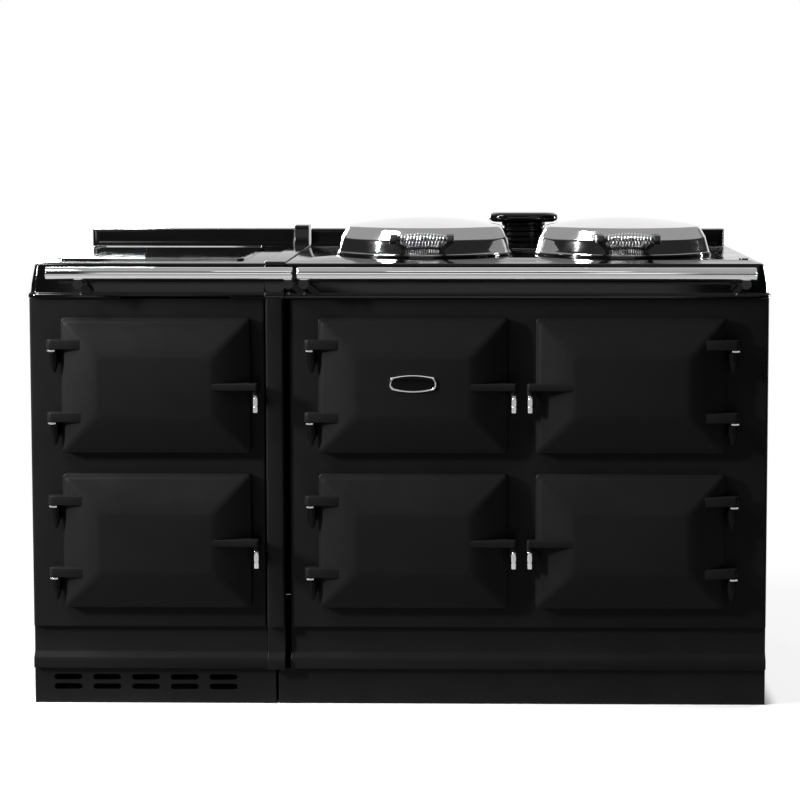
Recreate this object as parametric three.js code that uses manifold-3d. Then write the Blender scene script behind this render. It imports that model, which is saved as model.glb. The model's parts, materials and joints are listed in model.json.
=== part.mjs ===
// A cast iron range cooker: a main unit with four doors and two hotplates under domed lids,
// and a narrower left unit with two doors and a glass hob, joined side by side.
// Millimetres, +Z up. The front faces -Y and the origin is under the middle of the cooker.

import * as THREE from 'three';
import { mergeVertices } from 'three/addons/utils/BufferGeometryUtils.js';
import Module from 'manifold-3d';

const wasm = await Module();
wasm.setup();

// ---------------------------------------------------------------- driving dimensions

// The whole width and height add up from the doors and the margins round them.
// The front plates' faces are the plane y = 0 of the cooker's own group.
const bodyDepth = 698;
const gap = 0.3;            // between pieces that touch
const overlap = 1;          // by which a cutter or a joined form passes a surface

// Doors and the margins round them
const doorWidth = 376;
const doorHeight = 270;
const lowerDoorBottom = 201;
const doorGapZ = 42;        // between an upper and a lower door
const doorGapX = 56.2;      // between the main unit's doors
const leftMargin = 66;      // left edge to the left unit's doors
const pillarMargin = 30;    // left unit's doors to the pillar
const innerMargin = 59.3;   // main plate's edge to its nearer doors
const outerMargin = 86.5;   // main unit's further doors to the right edge
const upperMargin = 38;     // upper doors to the apron

// The pillar that covers the joint between the two units
const pillarWidth = 36;
const pillarProud = 9;
const pillarDepth = 22;
const pillarEdgeRadius = 5;
const shadowGap = 10;       // dark gap between the pillar and the main front plate

// Plinths
const plinthHeight = 73;
const plinthRecess = 8;
const plinthSheet = 4;
const plinthFoot = 40;      // turned-in flange that stands on the floor
const plinthBackInset = 8;
const plinthSeam = 5.5;
const louvreColumns = 5;
const louvreRows = 2;
const louvreWidth = 57;
const louvreHeight = 12;
const louvrePitchX = 78.5;
const louvrePitchZ = 19.5;
const louvreInset = 67;     // left edge to the first louvre's middle
const louvreTopZ = 53;
const louvreFlat = 0.01;    // straight part between a louvre's round ends' arcs

// Base mouldings
const mouldingTop = 159;
const mouldingRecess = 9;    // band behind the front plates' faces
const mouldingFoot = 2;      // foot ahead of them
const mouldingFlareTop = 109;
const mouldingFlareBottom = 92;
const mouldingEdge = 2;      // chamfer at the foot's lower edge

// Front plates and doors
const plateThickness = 14;
const plateEdgeRadius = 6;
const doorCornerRadius = 7;
const doorFlange = 17;      // thickness at the door's edge
const doorRise = 29;        // from the flange to the raised middle
const doorBevel = 70;       // width of the sloping border
const doorBevelSlope = 1.1; // its slope over the mean, before it bends into the middle
const doorBevelBend = 0.72; // share of its width where the bend starts
const doorBevelFirst = 0.4; // share of its width at the first ring of points
const doorInnerRadius = 1.5;  // least radius of the raised middle's corners
const doorEdgeRound = 3;
const doorSeat = 0.5;       // from the door's back to the front plate
const doorLapX = 18;        // door over the edge of its opening, at the sides
const doorLapZ = 15;        // and above and below
const apertureRadius = 14;
const airSlotWidth = 220;
const airSlotHeight = 4;
const airSlotInset = 183;   // left edge to the slot

// Door hinges: an arm cast on the door drops over a pin on the front plate's bracket
const hingeOut = 13;        // axis outside the door's edge
const hingeAhead = 20;      // axis ahead of the front plate
const armRadius = 11;
const armThickness = 20;
const armEndOut = 4;        // middle of an arm's round end beyond the axis
const armOnDoor = 44;       // how far an arm runs onto the door
const armProud = 1.5;       // arm ahead of the sloping border where it ends
const armTip = 5;           // length of the arm's blunt end
const castSink = 2;         // how deep arms are set into the door's face
const upperArmDrop = 52;    // door's top edge to the upper arm's middle
const lowerArmRise = 73;    // door's bottom edge to the lower arm's middle
const pinRadius = 4.5;
const pinLength = 14;
const pinClearance = 0.9;
const pinEndClearance = 2;
const bracketRadius = 9;
const bracketHeight = 24;
const bracketTail = 22;     // taper under a bracket
const bracketTailRadius = 3;
const bracketWebInset = 1;  // bracket's web inside its barrel

// Door handles: a fin on the door with a chrome grip hanging under its end
const finThickness = 14;
const finOut = 18;          // end of the fin outside the door's free edge
const finDepth = 20;
const finOnDoor = 68;
const finSink = 4;          // how deep the fin is set into the door's flange
const finEndRadius = 5;
const finChamfer = 3;
const gripRadius = 6;
const gripLength = 36;
const gripOut = 12;
const gripSetBack = 1;      // grip behind the fin's middle
const gripTopEdge = 1;
const gripTipEdge = 2;
const gripGroove = 1.2;     // depth of a groove
const gripGrooves = [5.5, 21.5];  // down from the grip's top
const bossRadius = 6.5;     // boss under the fin's end that holds the grip
const bossHeight = 9;
const catchRadius = 5;

// Door linings: the insulated pad that fills the opening behind a door
const liningClearance = 5;
const liningDepth = 24;
const liningTaper = 4;

// Ovens
const ovenWall = 5;
const ovenClearance = 2;    // the oven's inside is this much wider than the opening
const ovenDepth = 480;
const runnerCount = 3;
const runnerHeight = 6;
const runnerDepth = 8;
const runnerPitch = 62;
const runnerEndInset = 20;

// Control compartment behind the upper inner door
const controlDepth = 62;
const controlWall = 3;
const dialCount = 3;
const dialRadius = 21;
const dialHeight = 22;
const dialFlutes = 12;
const dialFluteDepth = 1.6;
const dialPitch = 96;
const dialSpindleRadius = 4;
const dialSpindleHole = 5;
const dialSpindleReach = 8; // spindle's end behind the panel
const dialSkirtHeight = 4;
const dialSkirtOut = 3;     // skirt outside the fluted grip
const dialSkirtFacets = 20;
const dialFluteSteps = 3;   // points round each flute
const dialPointerWidth = 3;
const dialPointerProud = 2;
const dialPointerStart = 4;
const dialPointerInset = 3;

// Top plates
const apronHeight = 69;
const lipHeight = 8;
const lipOut = 4.6;         // lip beyond the body
const lipRound = 2;
const lipCove = 3;          // height of the cove over the lip
const apronTopIn = 9;       // apron's upper end inside the body's outline
const apronCurve = 1.4;     // how its slope steepens towards the top
const apronShares = [0.35, 0.7, 1];
const topEdgeRadius = 6;
const topThickness = 16;
const topRim = 24;          // thickness of the skirt round the hollow underside
const topCornerRadius = 22;
const plugRadius = 10;
const plugHeight = 3;
const plugInset = 34;
const plugY = 150;

// Joint strip over the seam of the top plates
const stripWidth = 40;
const stripThickness = 3.5;
const stripBlockWidth = 32;
const stripBlockHeight = 48;
const stripBlockAhead = 2;  // block ahead of the risers
const stripBlockRound = 10;
const stripBlockChamfer = 4;

// Risers along the back of the top plates
const riserHeight = 39;
const riserDepth = 64;
const riserCove = 12;
const riserRoll = 9;
const riserToe = 2;         // foot ahead of the cove
const riserToeHeight = 3;
const riserChamfer = 3;     // at the upper back edge
const leftRiserInset = 8;
const mainRiserInset = 18;
const riserEndRadius = 16;

// Vent cowl
const ventOffset = 13;      // right of the main unit's middle
const ventAhead = 18;       // clear of the riser
const ventWidth = 97;
const ventDepth = 56;
const ventHeight = 59;
const ventFins = 4;
const ventFinInset = 4;
const ventMouthShare = 0.25;  // half a groove's width at its mouth, as a share of the pitch
const ventRootShare = 0.2;  // and at its root
const ventEndFlat = 1;
const ventCapWidth = 155;
const ventCapDepth = 86;
const ventCapProfile = [    // inset from the cap's edge, and height over its foot
  [9, 0], [1.5, 4], [0, 9], [2, 16], [9, 20], [20, 21],
];

// Hotplates
const hotplateInset = 9;    // hotplate's body inside the lid's edge
const hotplateThickness = 45;
const hotplateProud = 4;
const hotplateChamfer = 3;
const hotplateFlange = 4;   // the hotplate's seat on the ring
const hotplateSeatRise = 1;
const lidGap = 51;          // between the two lids
const lidOffset = 8.5;      // the pair's middle, right of the main unit's middle
const lidFront = 148;       // front plates to the lids' edge
const ringHeight = 5.5;     // raised ring that the lid closes on
const ringOut = 4;          // ring beyond the lid's edge

// Lids
const lidRadius = 185;
const lidWallFoot = 3;      // wall's lower end over the lid's base
const lidCreaseIn = 8;      // crease inside the lid's edge
const lidCreaseHeight = 33;
const lidShoulderIn = 20.5; // shoulder inside the lid's edge
const lidBandHeight = 55;   // upper end of the sloping band over the crease
const lidWallHeight = 57;
const lidDomeHeight = 16.5;
const lidShoulderBend = 4;
const lidBendAngles = [0.27, 0.42];  // in half turns
const lidDomeShares = [0.78, 0.5, 0.22];
const lidSheet = 3;
const lidRimOut = 1.5;
const lidRimHeight = 2;
const lidSeat = 0.4;        // from the closed lid to the ring
const lidHingeBack = 27;    // hinge axis behind the lid's edge
const lidHingeRise = 25;    // hinge axis above the top plate
const lidBarrelRadius = 9;
const lidBarrelLength = 60;
const lidTongueWidth = 48;
const lidTongueThickness = 10;
const lidTongueRoot = 8;    // tongue's root inside the lid's edge
const lidPinRadius = 5;
const lidPinClearance = 0.9;
const pedestalWidth = 14;
const pedestalRadius = 11;

// Lid handles: a chrome coil round a bar between two black posts
const coilLength = 100;
const coilTurns = 14;
const coilWireRadius = 1.9;
const coilEndRadius = 6.6;  // to the wire's middle
const coilMidRadius = 12;
const coilStepsPerTurn = 8;
const coilSides = 5;
const coilSwell = 0.7;      // how quickly the coil widens from its ends
const handleBarRadius = 3.4;
const handleBarReach = 2;   // bar's end inside each post
const handleBarFacets = 10;
const handlePostWidth = 15;
const handlePostRadius = 9;
const handlePostRoot = 30;  // a post's inner end behind the lid's edge
const handleAhead = 31;     // bar's middle ahead of the lid's base edge
const handleRise = 42;      // bar's middle above the top plate

// Glass hob on the left unit
const hobInset = 54;
const hobWidth = 358;
const hobFront = 90;
const hobDepth = 452;
const hobGlassThickness = 4;
const hobTrimWidth = 7;
const hobTrimHeight = 5.5;
const hobCornerRadius = 6;

// Handrails
const railRadius = 12.5;
const railAhead = 45;
const railDrop = 17;        // rail's middle below the top plate
const railPostRadius = 10;
const railPostDrop = 37;
const railPostAhead = 4;    // post's end ahead of the rail's middle
const railPostReach = 30;   // post's length behind the front plates' faces, before the apron cuts it
const railEndBend = 3;
const railFacets = 16;
const railEndInset = { left: 44, right: 32 };
const railJointOffset = { left: 39, right: 49 };
const railPostInset = { outerLeft: 63, innerLeft: 8.5, innerRight: 13, outerRight: 20 };

// Side and back panels
const panelThickness = 4;
const backPanelInset = 5;
const sidePanelSetBack = 2; // side panels behind the front plates

// Facets
const lidFacets = 36;
const rodFacets = 12;

// ---------------------------------------------------------------- worked out from those

const bodyWidth = leftMargin + doorWidth + pillarMargin + pillarWidth + shadowGap
  + innerMargin + doorWidth + doorGapX + doorWidth + outerMargin;
const halfWidth = bodyWidth / 2;
const topHeight = lowerDoorBottom + 2 * doorHeight + doorGapZ + upperMargin + apronHeight;
const jointX = leftMargin + doorWidth + pillarMargin + pillarWidth / 2 - halfWidth;
const mainMiddle = (jointX + halfWidth) / 2;
const upperDoorBottom = lowerDoorBottom + doorHeight + doorGapZ;
const lowerDoorZ = lowerDoorBottom + doorHeight / 2;
const upperDoorZ = upperDoorBottom + doorHeight / 2;
const pillarLeft = jointX - pillarWidth / 2;
const pillarRight = jointX + pillarWidth / 2;
const mainPlateLeft = pillarRight + shadowGap;
const leftDoorX = leftMargin + doorWidth / 2 - halfWidth;
const innerDoorX = mainPlateLeft + innerMargin + doorWidth / 2;
const outerDoorX = halfWidth - outerMargin - doorWidth / 2;
const apertureWidth = doorWidth - 2 * doorLapX;
const apertureHeight = doorHeight - 2 * doorLapZ;
const apronBottom = topHeight - apronHeight;
const plateTop = apronBottom - gap;
const overallDepth = bodyDepth + railAhead + railRadius;
const frontY = -overallDepth / 2 + railAhead + railRadius;
const riserY = bodyDepth - riserDepth;
const lidY = lidFront + lidRadius;
const lidPitch = 2 * lidRadius + lidGap;
const lidShoulderRadius = lidRadius - lidShoulderIn;
const hotplateRadius = lidRadius - hotplateInset;
const lidHingeY = lidY + lidRadius + lidHingeBack;
const lidHingeZ = topHeight + lidHingeRise;
const lidBaseZ = topHeight + ringHeight + lidSeat;
const ringRadius = hotplateRadius + hotplateFlange + gap;
const leftLidX = mainMiddle + lidOffset - lidPitch / 2;
const rightLidX = mainMiddle + lidOffset + lidPitch / 2;
const ventX = mainMiddle + ventOffset;
const ventY = riserY - ventAhead - ventDepth / 2;
const hobLeft = hobInset - halfWidth;
const hobRight = hobLeft + hobWidth;
const railHeight = topHeight - railDrop;
const railPostHeight = topHeight - railPostDrop;

// A handrail's two ends and its posts, each post at a distance in from its end.
function railBetween(from, to, firstInset, lastInset) {
  return { from, to, posts: [from + firstInset, to - lastInset] };
}

const leftRail = railBetween(railEndInset.left - halfWidth, jointX + railJointOffset.left,
  railPostInset.outerLeft, railPostInset.innerLeft);
const mainRail = railBetween(jointX + railJointOffset.right, halfWidth - railEndInset.right,
  railPostInset.innerRight, railPostInset.outerRight);

// ---------------------------------------------------------------- materials

function finish(color, roughness, metalness) {
  return new THREE.MeshStandardMaterial({ color, roughness, metalness });
}

const glossEnamel = finish(0x101012, 0.12, 0.0);
const satinEnamel = finish(0x1c1c1e, 0.38, 0.0);
const chrome = finish(0xd8d8da, 0.12, 1.0);
const steel = finish(0xa8a9ab, 0.35, 1.0);
const barePlate = finish(0x2b2a29, 0.6, 0.6);
const blackSheet = finish(0x161617, 0.5, 0.2);
const blackGlass = finish(0x0b0b0d, 0.05, 0.0);
const blackPlastic = finish(0x131314, 0.45, 0.0);

// ---------------------------------------------------------------- shape helpers

// Turns a closed geometry into a solid with its faces pointing out.
function solid(geometry) {
  const bare = geometry.clone();
  bare.deleteAttribute('normal');
  bare.deleteAttribute('uv');
  const merged = mergeVertices(bare, 1e-4);
  const points = merged.attributes.position;
  const index = merged.index.array;
  const a = new THREE.Vector3();
  const b = new THREE.Vector3();
  const c = new THREE.Vector3();
  const faces = [];
  let volume = 0;
  for (let i = 0; i < index.length; i += 3) {
    const [ia, ib, ic] = index.slice(i, i + 3);
    if (ia === ib || ib === ic || ic === ia) continue;
    faces.push([ia, ib, ic]);
    a.fromBufferAttribute(points, ia);
    b.fromBufferAttribute(points, ib);
    c.fromBufferAttribute(points, ic);
    volume += a.dot(b.cross(c));
  }
  const triVerts = new Uint32Array(faces.flat());
  if (volume < 0) triVerts.reverse();
  const vertProperties = new Float32Array(points.array);
  return new wasm.Manifold(new wasm.Mesh({ numProp: 3, vertProperties, triVerts }));
}

function toGeometry(body) {
  const mesh = body.getMesh();
  const geometry = new THREE.BufferGeometry();
  geometry.setAttribute('position', new THREE.BufferAttribute(mesh.vertProperties, 3));
  geometry.setIndex(new THREE.BufferAttribute(mesh.triVerts, 1));
  geometry.computeVertexNormals();
  return geometry;
}

function join(bodies) {
  return bodies.reduce((whole, body) => whole.add(body));
}

function cut(body, tools) {
  return tools.reduce((rest, tool) => rest.subtract(tool), body);
}

function addPiece(group, name, body, material) {
  const mesh = new THREE.Mesh(toGeometry(body), material);
  mesh.name = name;
  group.add(mesh);
  return mesh;
}

function box(x0, x1, y0, y1, z0, z1) {
  const geometry = new THREE.BoxGeometry(x1 - x0, y1 - y0, z1 - z0);
  geometry.translate((x0 + x1) / 2, (y0 + y1) / 2, (z0 + z1) / 2);
  return solid(geometry);
}

// Outline of points [u, v] as a shape.
function outline(points) {
  return new THREE.Shape(points.map(([u, v]) => new THREE.Vector2(u, v)));
}

function extrude(shape, depth, curveSegments = 6) {
  return new THREE.ExtrudeGeometry(shape, { depth, bevelEnabled: false, curveSegments });
}

// A profile in (y, z) run along X from x0 to x1.
function alongX(points, x0, x1) {
  const geometry = extrude(outline(points), x1 - x0);
  const axes = new THREE.Matrix4().makeBasis(
    new THREE.Vector3(0, 1, 0), new THREE.Vector3(0, 0, 1), new THREE.Vector3(1, 0, 0));
  geometry.applyMatrix4(axes);
  geometry.translate(x0, 0, 0);
  return solid(geometry);
}

// A shape in (x, z) run along Y from y0 to y1.
function alongY(shape, y0, y1, curveSegments = 6) {
  const geometry = extrude(shape, y1 - y0, curveSegments);
  geometry.rotateX(Math.PI / 2);
  geometry.translate(0, y1, 0);
  return solid(geometry);
}

// A shape in (x, y) run along Z from z0 to z1.
function alongZ(shape, z0, z1, curveSegments = 6) {
  const geometry = extrude(shape, z1 - z0, curveSegments);
  geometry.translate(0, 0, z0);
  return solid(geometry);
}

// A profile of [radius, height] turned about Z through (x, y).
function turned(profile, x, y, segments) {
  const geometry = new THREE.LatheGeometry(
    profile.map(([radius, height]) => new THREE.Vector2(radius, height)), segments);
  geometry.rotateX(Math.PI / 2);
  geometry.translate(x, y, 0);
  return solid(geometry);
}

function rodZ(x, y, z0, z1, radius, segments = rodFacets) {
  return turned([[0, z0], [radius, z0], [radius, z1], [0, z1]], x, y, segments);
}

function rodX(x0, x1, y, z, radius, segments = rodFacets) {
  const geometry = new THREE.CylinderGeometry(radius, radius, x1 - x0, segments);
  geometry.rotateZ(Math.PI / 2);
  geometry.translate((x0 + x1) / 2, y, z);
  return solid(geometry);
}

function rodY(x, z, y0, y1, radius, segments = rodFacets) {
  const geometry = new THREE.CylinderGeometry(radius, radius, y1 - y0, segments);
  geometry.translate(x, (y0 + y1) / 2, z);
  return solid(geometry);
}

// Points of an arc about (cu, cv), angles in turns of PI.
function arc(cu, cv, radius, from, to, steps) {
  const points = [];
  for (let i = 0; i <= steps; i += 1) {
    const angle = Math.PI * (from + (to - from) * i / steps);
    points.push([cu + radius * Math.cos(angle), cv + radius * Math.sin(angle)]);
  }
  return points;
}

// Rectangle about (u, v) with round corners, as points.
function roundedPoints(u, v, width, height, radius, steps = 3) {
  const right = u + width / 2 - radius;
  const left = u - width / 2 + radius;
  const top = v + height / 2 - radius;
  const bottom = v - height / 2 + radius;
  return [
    ...arc(right, top, radius, 0, 0.5, steps),
    ...arc(left, top, radius, 0.5, 1, steps),
    ...arc(left, bottom, radius, 1, 1.5, steps),
    ...arc(right, bottom, radius, 1.5, 2, steps),
  ];
}

// A solid through a row of rings that all have the same number of points.
function loft(rings) {
  const count = rings[0].length;
  const positions = rings.flat().flatMap((point) => [point.x, point.y, point.z]);
  const index = [];
  for (let r = 0; r + 1 < rings.length; r += 1) {
    for (let i = 0; i < count; i += 1) {
      const a = r * count + i;
      const b = r * count + (i + 1) % count;
      index.push(a, b, b + count, a, b + count, a + count);
    }
  }
  const last = (rings.length - 1) * count;
  for (let i = 1; i + 1 < count; i += 1) {
    index.push(0, i + 1, i);
    index.push(last, last + i, last + i + 1);
  }
  const geometry = new THREE.BufferGeometry();
  geometry.setAttribute('position', new THREE.Float32BufferAttribute(positions, 3));
  geometry.setIndex(index);
  return solid(geometry);
}

// ---------------------------------------------------------------- plinths and mouldings

function louvres() {
  const slots = [];
  for (let row = 0; row < louvreRows; row += 1) {
    for (let column = 0; column < louvreColumns; column += 1) {
      const x = louvreInset - halfWidth + column * louvrePitchX;
      const z = louvreTopZ - row * louvrePitchZ;
      const points = roundedPoints(x, z, louvreWidth, louvreHeight, louvreHeight / 2 - louvreFlat, 2);
      slots.push(alongY(outline(points), plinthRecess - overlap,
        plinthRecess + plinthSheet + overlap));
    }
  }
  return slots;
}

// A sheet box, open below inside a foot flange.
function plinth(x0, x1, slots) {
  const back = bodyDepth - plinthBackInset;
  const top = plinthHeight - gap;
  const shell = box(x0, x1, plinthRecess, back, 0, top);
  const hollow = box(x0 + plinthSheet, x1 - plinthSheet, plinthRecess + plinthSheet,
    back - plinthSheet, plinthSheet, top - plinthSheet);
  const mouth = box(x0 + plinthFoot, x1 - plinthFoot, plinthRecess + plinthFoot,
    back - plinthFoot, -overlap, plinthSheet + overlap);
  return cut(shell, [hollow, mouth, ...slots]);
}

// A recessed band under the front plate, with an ogee out to a foot. ahead moves it forwards.
function mouldingProfile(back, ahead, top) {
  const band = mouldingRecess - ahead;
  const foot = -mouldingFoot - ahead;
  const ogee = [0, 0.25, 0.5, 0.75, 1].map((share) => [
    THREE.MathUtils.lerp(band, foot, THREE.MathUtils.smoothstep(share, 0, 1)),
    THREE.MathUtils.lerp(mouldingFlareTop, mouldingFlareBottom, share),
  ]);
  return [
    [back, top],
    [band, top],
    ...ogee,
    [foot, plinthHeight + mouldingEdge],
    [foot + mouldingEdge, plinthHeight],
    [back, plinthHeight],
  ];
}

function moulding(x0, x1) {
  return alongX(mouldingProfile(plateThickness, 0, mouldingTop - gap), x0, x1);
}

// ---------------------------------------------------------------- doors

const hingeDrops = [doorHeight / 2 - upperArmDrop, lowerArmRise - doorHeight / 2];

// side is -1 for a door hinged on its left, +1 for one hinged on its right.
function door(name, x, z, side) {
  return { name, x, z, side };
}

const doors = [
  door('left_upper_door', leftDoorX, upperDoorZ, -1),
  door('left_lower_door', leftDoorX, lowerDoorZ, -1),
  door('main_upper_left_door', innerDoorX, upperDoorZ, -1),
  door('main_lower_left_door', innerDoorX, lowerDoorZ, -1),
  door('main_upper_right_door', outerDoorX, upperDoorZ, 1),
  door('main_lower_right_door', outerDoorX, lowerDoorZ, 1),
];

function hingeX(spec) {
  return spec.x + spec.side * (doorWidth / 2 + hingeOut);
}

// Height of the door's face over its flange, at a distance in from its edge.
function bevelHeight(inset) {
  const t = Math.min(inset / doorBevel, 1);
  const blend = THREE.MathUtils.smoothstep(t, doorBevelBend, 1);
  return doorRise * THREE.MathUtils.lerp(t * doorBevelSlope, 1, blend);
}

// The cast front: a flange, a sloping border and a raised middle.
function doorFront() {
  const rings = [];
  const ring = (inset, y) => {
    const radius = Math.max(doorCornerRadius - inset, doorInnerRadius);
    const points = roundedPoints(0, 0, doorWidth - 2 * inset, doorHeight - 2 * inset, radius, 2);
    rings.push(points.map(([px, pz]) => new THREE.Vector3(px, y, pz)));
  };
  ring(0, -doorSeat);
  for (const [inset, y] of arc(doorEdgeRound, doorEdgeRound - doorFlange, doorEdgeRound,
    1, 1.5, 2)) {
    ring(inset, y);
  }
  for (const share of [doorBevelFirst, doorBevelBend, (1 + doorBevelBend) / 2, 1]) {
    const inset = THREE.MathUtils.lerp(doorEdgeRound, doorBevel, share);
    ring(inset, -doorFlange - bevelHeight(inset));
  }
  return loft(rings);
}

// An arm's plan from the hinge's round end to where it dies into the bevel, for a left hinge.
function armPlan() {
  const edge = -doorWidth / 2;
  const axis = edge - hingeOut;
  const tip = armOnDoor - armTip;
  return [
    ...arc(axis - armEndOut, -hingeAhead, armRadius, 1.5, 0.5, 5),
    [edge, armRadius - hingeAhead],
    [edge + armOnDoor, castSink - doorFlange],
    [edge + armOnDoor, castSink - doorFlange - bevelHeight(armOnDoor)],
    [edge + tip, -doorFlange - bevelHeight(tip) - armProud],
    [edge, -hingeAhead - armRadius],
  ];
}

// A fin's plan from the raised middle out past the door's free edge, on the right.
function finPlan() {
  const edge = doorWidth / 2;
  const face = -doorFlange - doorRise;
  const back = face + finDepth;
  return [
    [edge - finOnDoor, face + gap],
    ...arc(edge + finOut - finEndRadius, face + gap + finEndRadius, finEndRadius, 1.5, 2, 3),
    [edge + finOut, back - finChamfer],
    [edge + finOut - finChamfer, back],
    [edge, back],
    [edge - finChamfer, finSink - doorFlange],
    [edge - finOnDoor, finSink - doorFlange],
  ];
}

const gripY = -doorFlange - doorRise + finDepth / 2 + gripSetBack;

// The casting of a door hinged on its left, about the door's own middle.
function doorCasting() {
  const arms = hingeDrops.map((z) => {
    const arm = alongZ(outline(armPlan()), z - armThickness / 2, z + armThickness / 2);
    const hole = rodZ(-doorWidth / 2 - hingeOut, -hingeAhead,
      z - armThickness / 2 - overlap, z - armThickness / 2 + pinLength + pinEndClearance,
      pinRadius + pinClearance, 8);
    return [arm, hole];
  });
  const fin = alongZ(outline(finPlan()), -finThickness / 2, finThickness / 2);
  const boss = rodZ(doorWidth / 2 + gripOut, gripY, -finThickness / 2 - bossHeight, 0,
    bossRadius, 10);
  const whole = join([doorFront(), fin, boss, ...arms.map(([arm]) => arm)]);
  return cut(whole, arms.map(([, hole]) => hole));
}

// The insulated pad behind a door, which fills the opening when the door is shut.
function doorLining() {
  const width = apertureWidth - 2 * liningClearance;
  const height = apertureHeight - 2 * liningClearance;
  const radius = apertureRadius - liningClearance;
  const ring = (inset, y) => roundedPoints(0, 0, width - 2 * inset, height - 2 * inset, radius, 2)
    .map(([px, pz]) => new THREE.Vector3(px, y, pz));
  const front = gap - doorSeat;
  return loft([ring(0, front), ring(0, liningDepth - liningTaper), ring(liningTaper, liningDepth)]);
}

// The chrome grip, hanging under the fin's boss, with grooves round it.
function doorGrip() {
  const top = -finThickness / 2 - bossHeight - gap;
  const bottom = top - gripLength;
  const grooves = gripGrooves.flatMap((drop) => [
    [gripRadius, top - drop + gripGroove],
    [gripRadius - gripGroove, top - drop],
    [gripRadius, top - drop - gripGroove],
  ]);
  const profile = [
    [0, top], [gripRadius - gripTopEdge, top], [gripRadius, top - gripTopEdge],
    ...grooves,
    [gripRadius, bottom + gripTipEdge], [gripRadius - gripTipEdge, bottom], [0, bottom],
  ];
  return turned(profile, doorWidth / 2 + gripOut, gripY, 10);
}

// Each door is its own group, placed at its hinge axis.
function addDoor(cooker, spec) {
  const group = new THREE.Group();
  group.position.set(hingeX(spec), -hingeAhead, spec.z);
  cooker.add(group);
  const middle = new THREE.Group();
  middle.position.set(spec.x - hingeX(spec), hingeAhead, 0);
  group.add(middle);
  const turn = (body) => (spec.side > 0 ? body.mirror([1, 0, 0]) : body);
  addPiece(middle, spec.name, turn(doorCasting()), satinEnamel);
  addPiece(middle, `${spec.name}_lining`, turn(doorLining()), steel);
  addPiece(middle, `${spec.name}_grip`, turn(doorGrip()), chrome);
}

// The bracket on the front plate under a door's arm, with the pin the arm drops over.
function hingeBracket(x, armBottom) {
  const top = armBottom - gap;
  const bottom = top - bracketHeight;
  const barrel = turned([
    [0, bottom - bracketTail], [bracketTailRadius, bottom - bracketTail],
    [bracketRadius, bottom], [bracketRadius, top], [pinRadius, top],
    [pinRadius, top + pinLength], [0, top + pinLength],
  ], x, -hingeAhead, 8);
  const half = bracketRadius - bracketWebInset;
  const web = box(x - half, x + half, -hingeAhead, overlap, bottom, top);
  return barrel.add(web);
}

function catchStud(spec) {
  const x = spec.x - spec.side * (doorWidth / 2 + gripOut);
  const finBack = -doorFlange - doorRise + finDepth;
  return rodY(x, spec.z, finBack + gap, overlap, catchRadius, 8);
}

// A front plate with round outer edges, an opening for each door, brackets and catch studs.
function frontPlate(x0, x1, specs) {
  const profile = [
    [x1, plateThickness],
    [x0, plateThickness],
    ...arc(x0 + plateEdgeRadius, plateEdgeRadius, plateEdgeRadius, 1, 1.5, 4),
    ...arc(x1 - plateEdgeRadius, plateEdgeRadius, plateEdgeRadius, 1.5, 2, 4),
  ];
  const slab = alongZ(outline(profile), mouldingTop, plateTop);
  const openings = specs.map((spec) => alongY(
    outline(roundedPoints(spec.x, spec.z, apertureWidth, apertureHeight, apertureRadius, 3)),
    -overlap, plateThickness + overlap));
  const fittings = specs.flatMap((spec) => [
    ...hingeDrops.map((dz) => hingeBracket(hingeX(spec), spec.z + dz - armThickness / 2)),
    catchStud(spec),
  ]);
  return join([cut(slab, openings), ...fittings]);
}

// ---------------------------------------------------------------- ovens and controls

// A cast oven lining, open at the front, with shelf runners on both side walls.
function oven(spec) {
  const width = apertureWidth + 2 * ovenClearance;
  const height = apertureHeight + 2 * ovenClearance;
  const front = plateThickness + gap;
  const back = front + ovenDepth;
  const shell = box(spec.x - width / 2 - ovenWall, spec.x + width / 2 + ovenWall, front, back,
    spec.z - height / 2 - ovenWall, spec.z + height / 2 + ovenWall);
  const inside = box(spec.x - width / 2, spec.x + width / 2, front - overlap, back - ovenWall,
    spec.z - height / 2, spec.z + height / 2);
  const runners = [];
  for (let i = 0; i < runnerCount; i += 1) {
    const z = spec.z + (i - (runnerCount - 1) / 2) * runnerPitch;
    for (const side of [-1, 1]) {
      const wall = spec.x + side * (width / 2 + overlap);
      const tip = spec.x + side * (width / 2 - runnerDepth);
      runners.push(box(Math.min(wall, tip), Math.max(wall, tip),
        front + liningDepth + runnerEndInset, back - ovenWall - runnerEndInset,
        z - runnerHeight / 2, z + runnerHeight / 2));
    }
  }
  return join([shell.subtract(inside), ...runners]);
}

function controlPanelFace() {
  return plateThickness + gap + controlDepth;
}

function dialX(spec, i) {
  return spec.x + (i - (dialCount - 1) / 2) * dialPitch;
}

// A shallow pressed box whose back wall carries the dials.
function controlBox(spec) {
  const width = apertureWidth + 2 * ovenClearance;
  const height = apertureHeight + 2 * ovenClearance;
  const front = plateThickness + gap;
  const face = controlPanelFace();
  const shell = box(spec.x - width / 2 - controlWall, spec.x + width / 2 + controlWall,
    front, face + controlWall,
    spec.z - height / 2 - controlWall, spec.z + height / 2 + controlWall);
  const inside = box(spec.x - width / 2, spec.x + width / 2, front - overlap, face,
    spec.z - height / 2, spec.z + height / 2);
  const holes = [];
  for (let i = 0; i < dialCount; i += 1) {
    holes.push(rodY(dialX(spec, i), spec.z, face - overlap, face + controlWall + overlap,
      dialSpindleHole));
  }
  return cut(shell, [inside, ...holes]);
}

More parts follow.
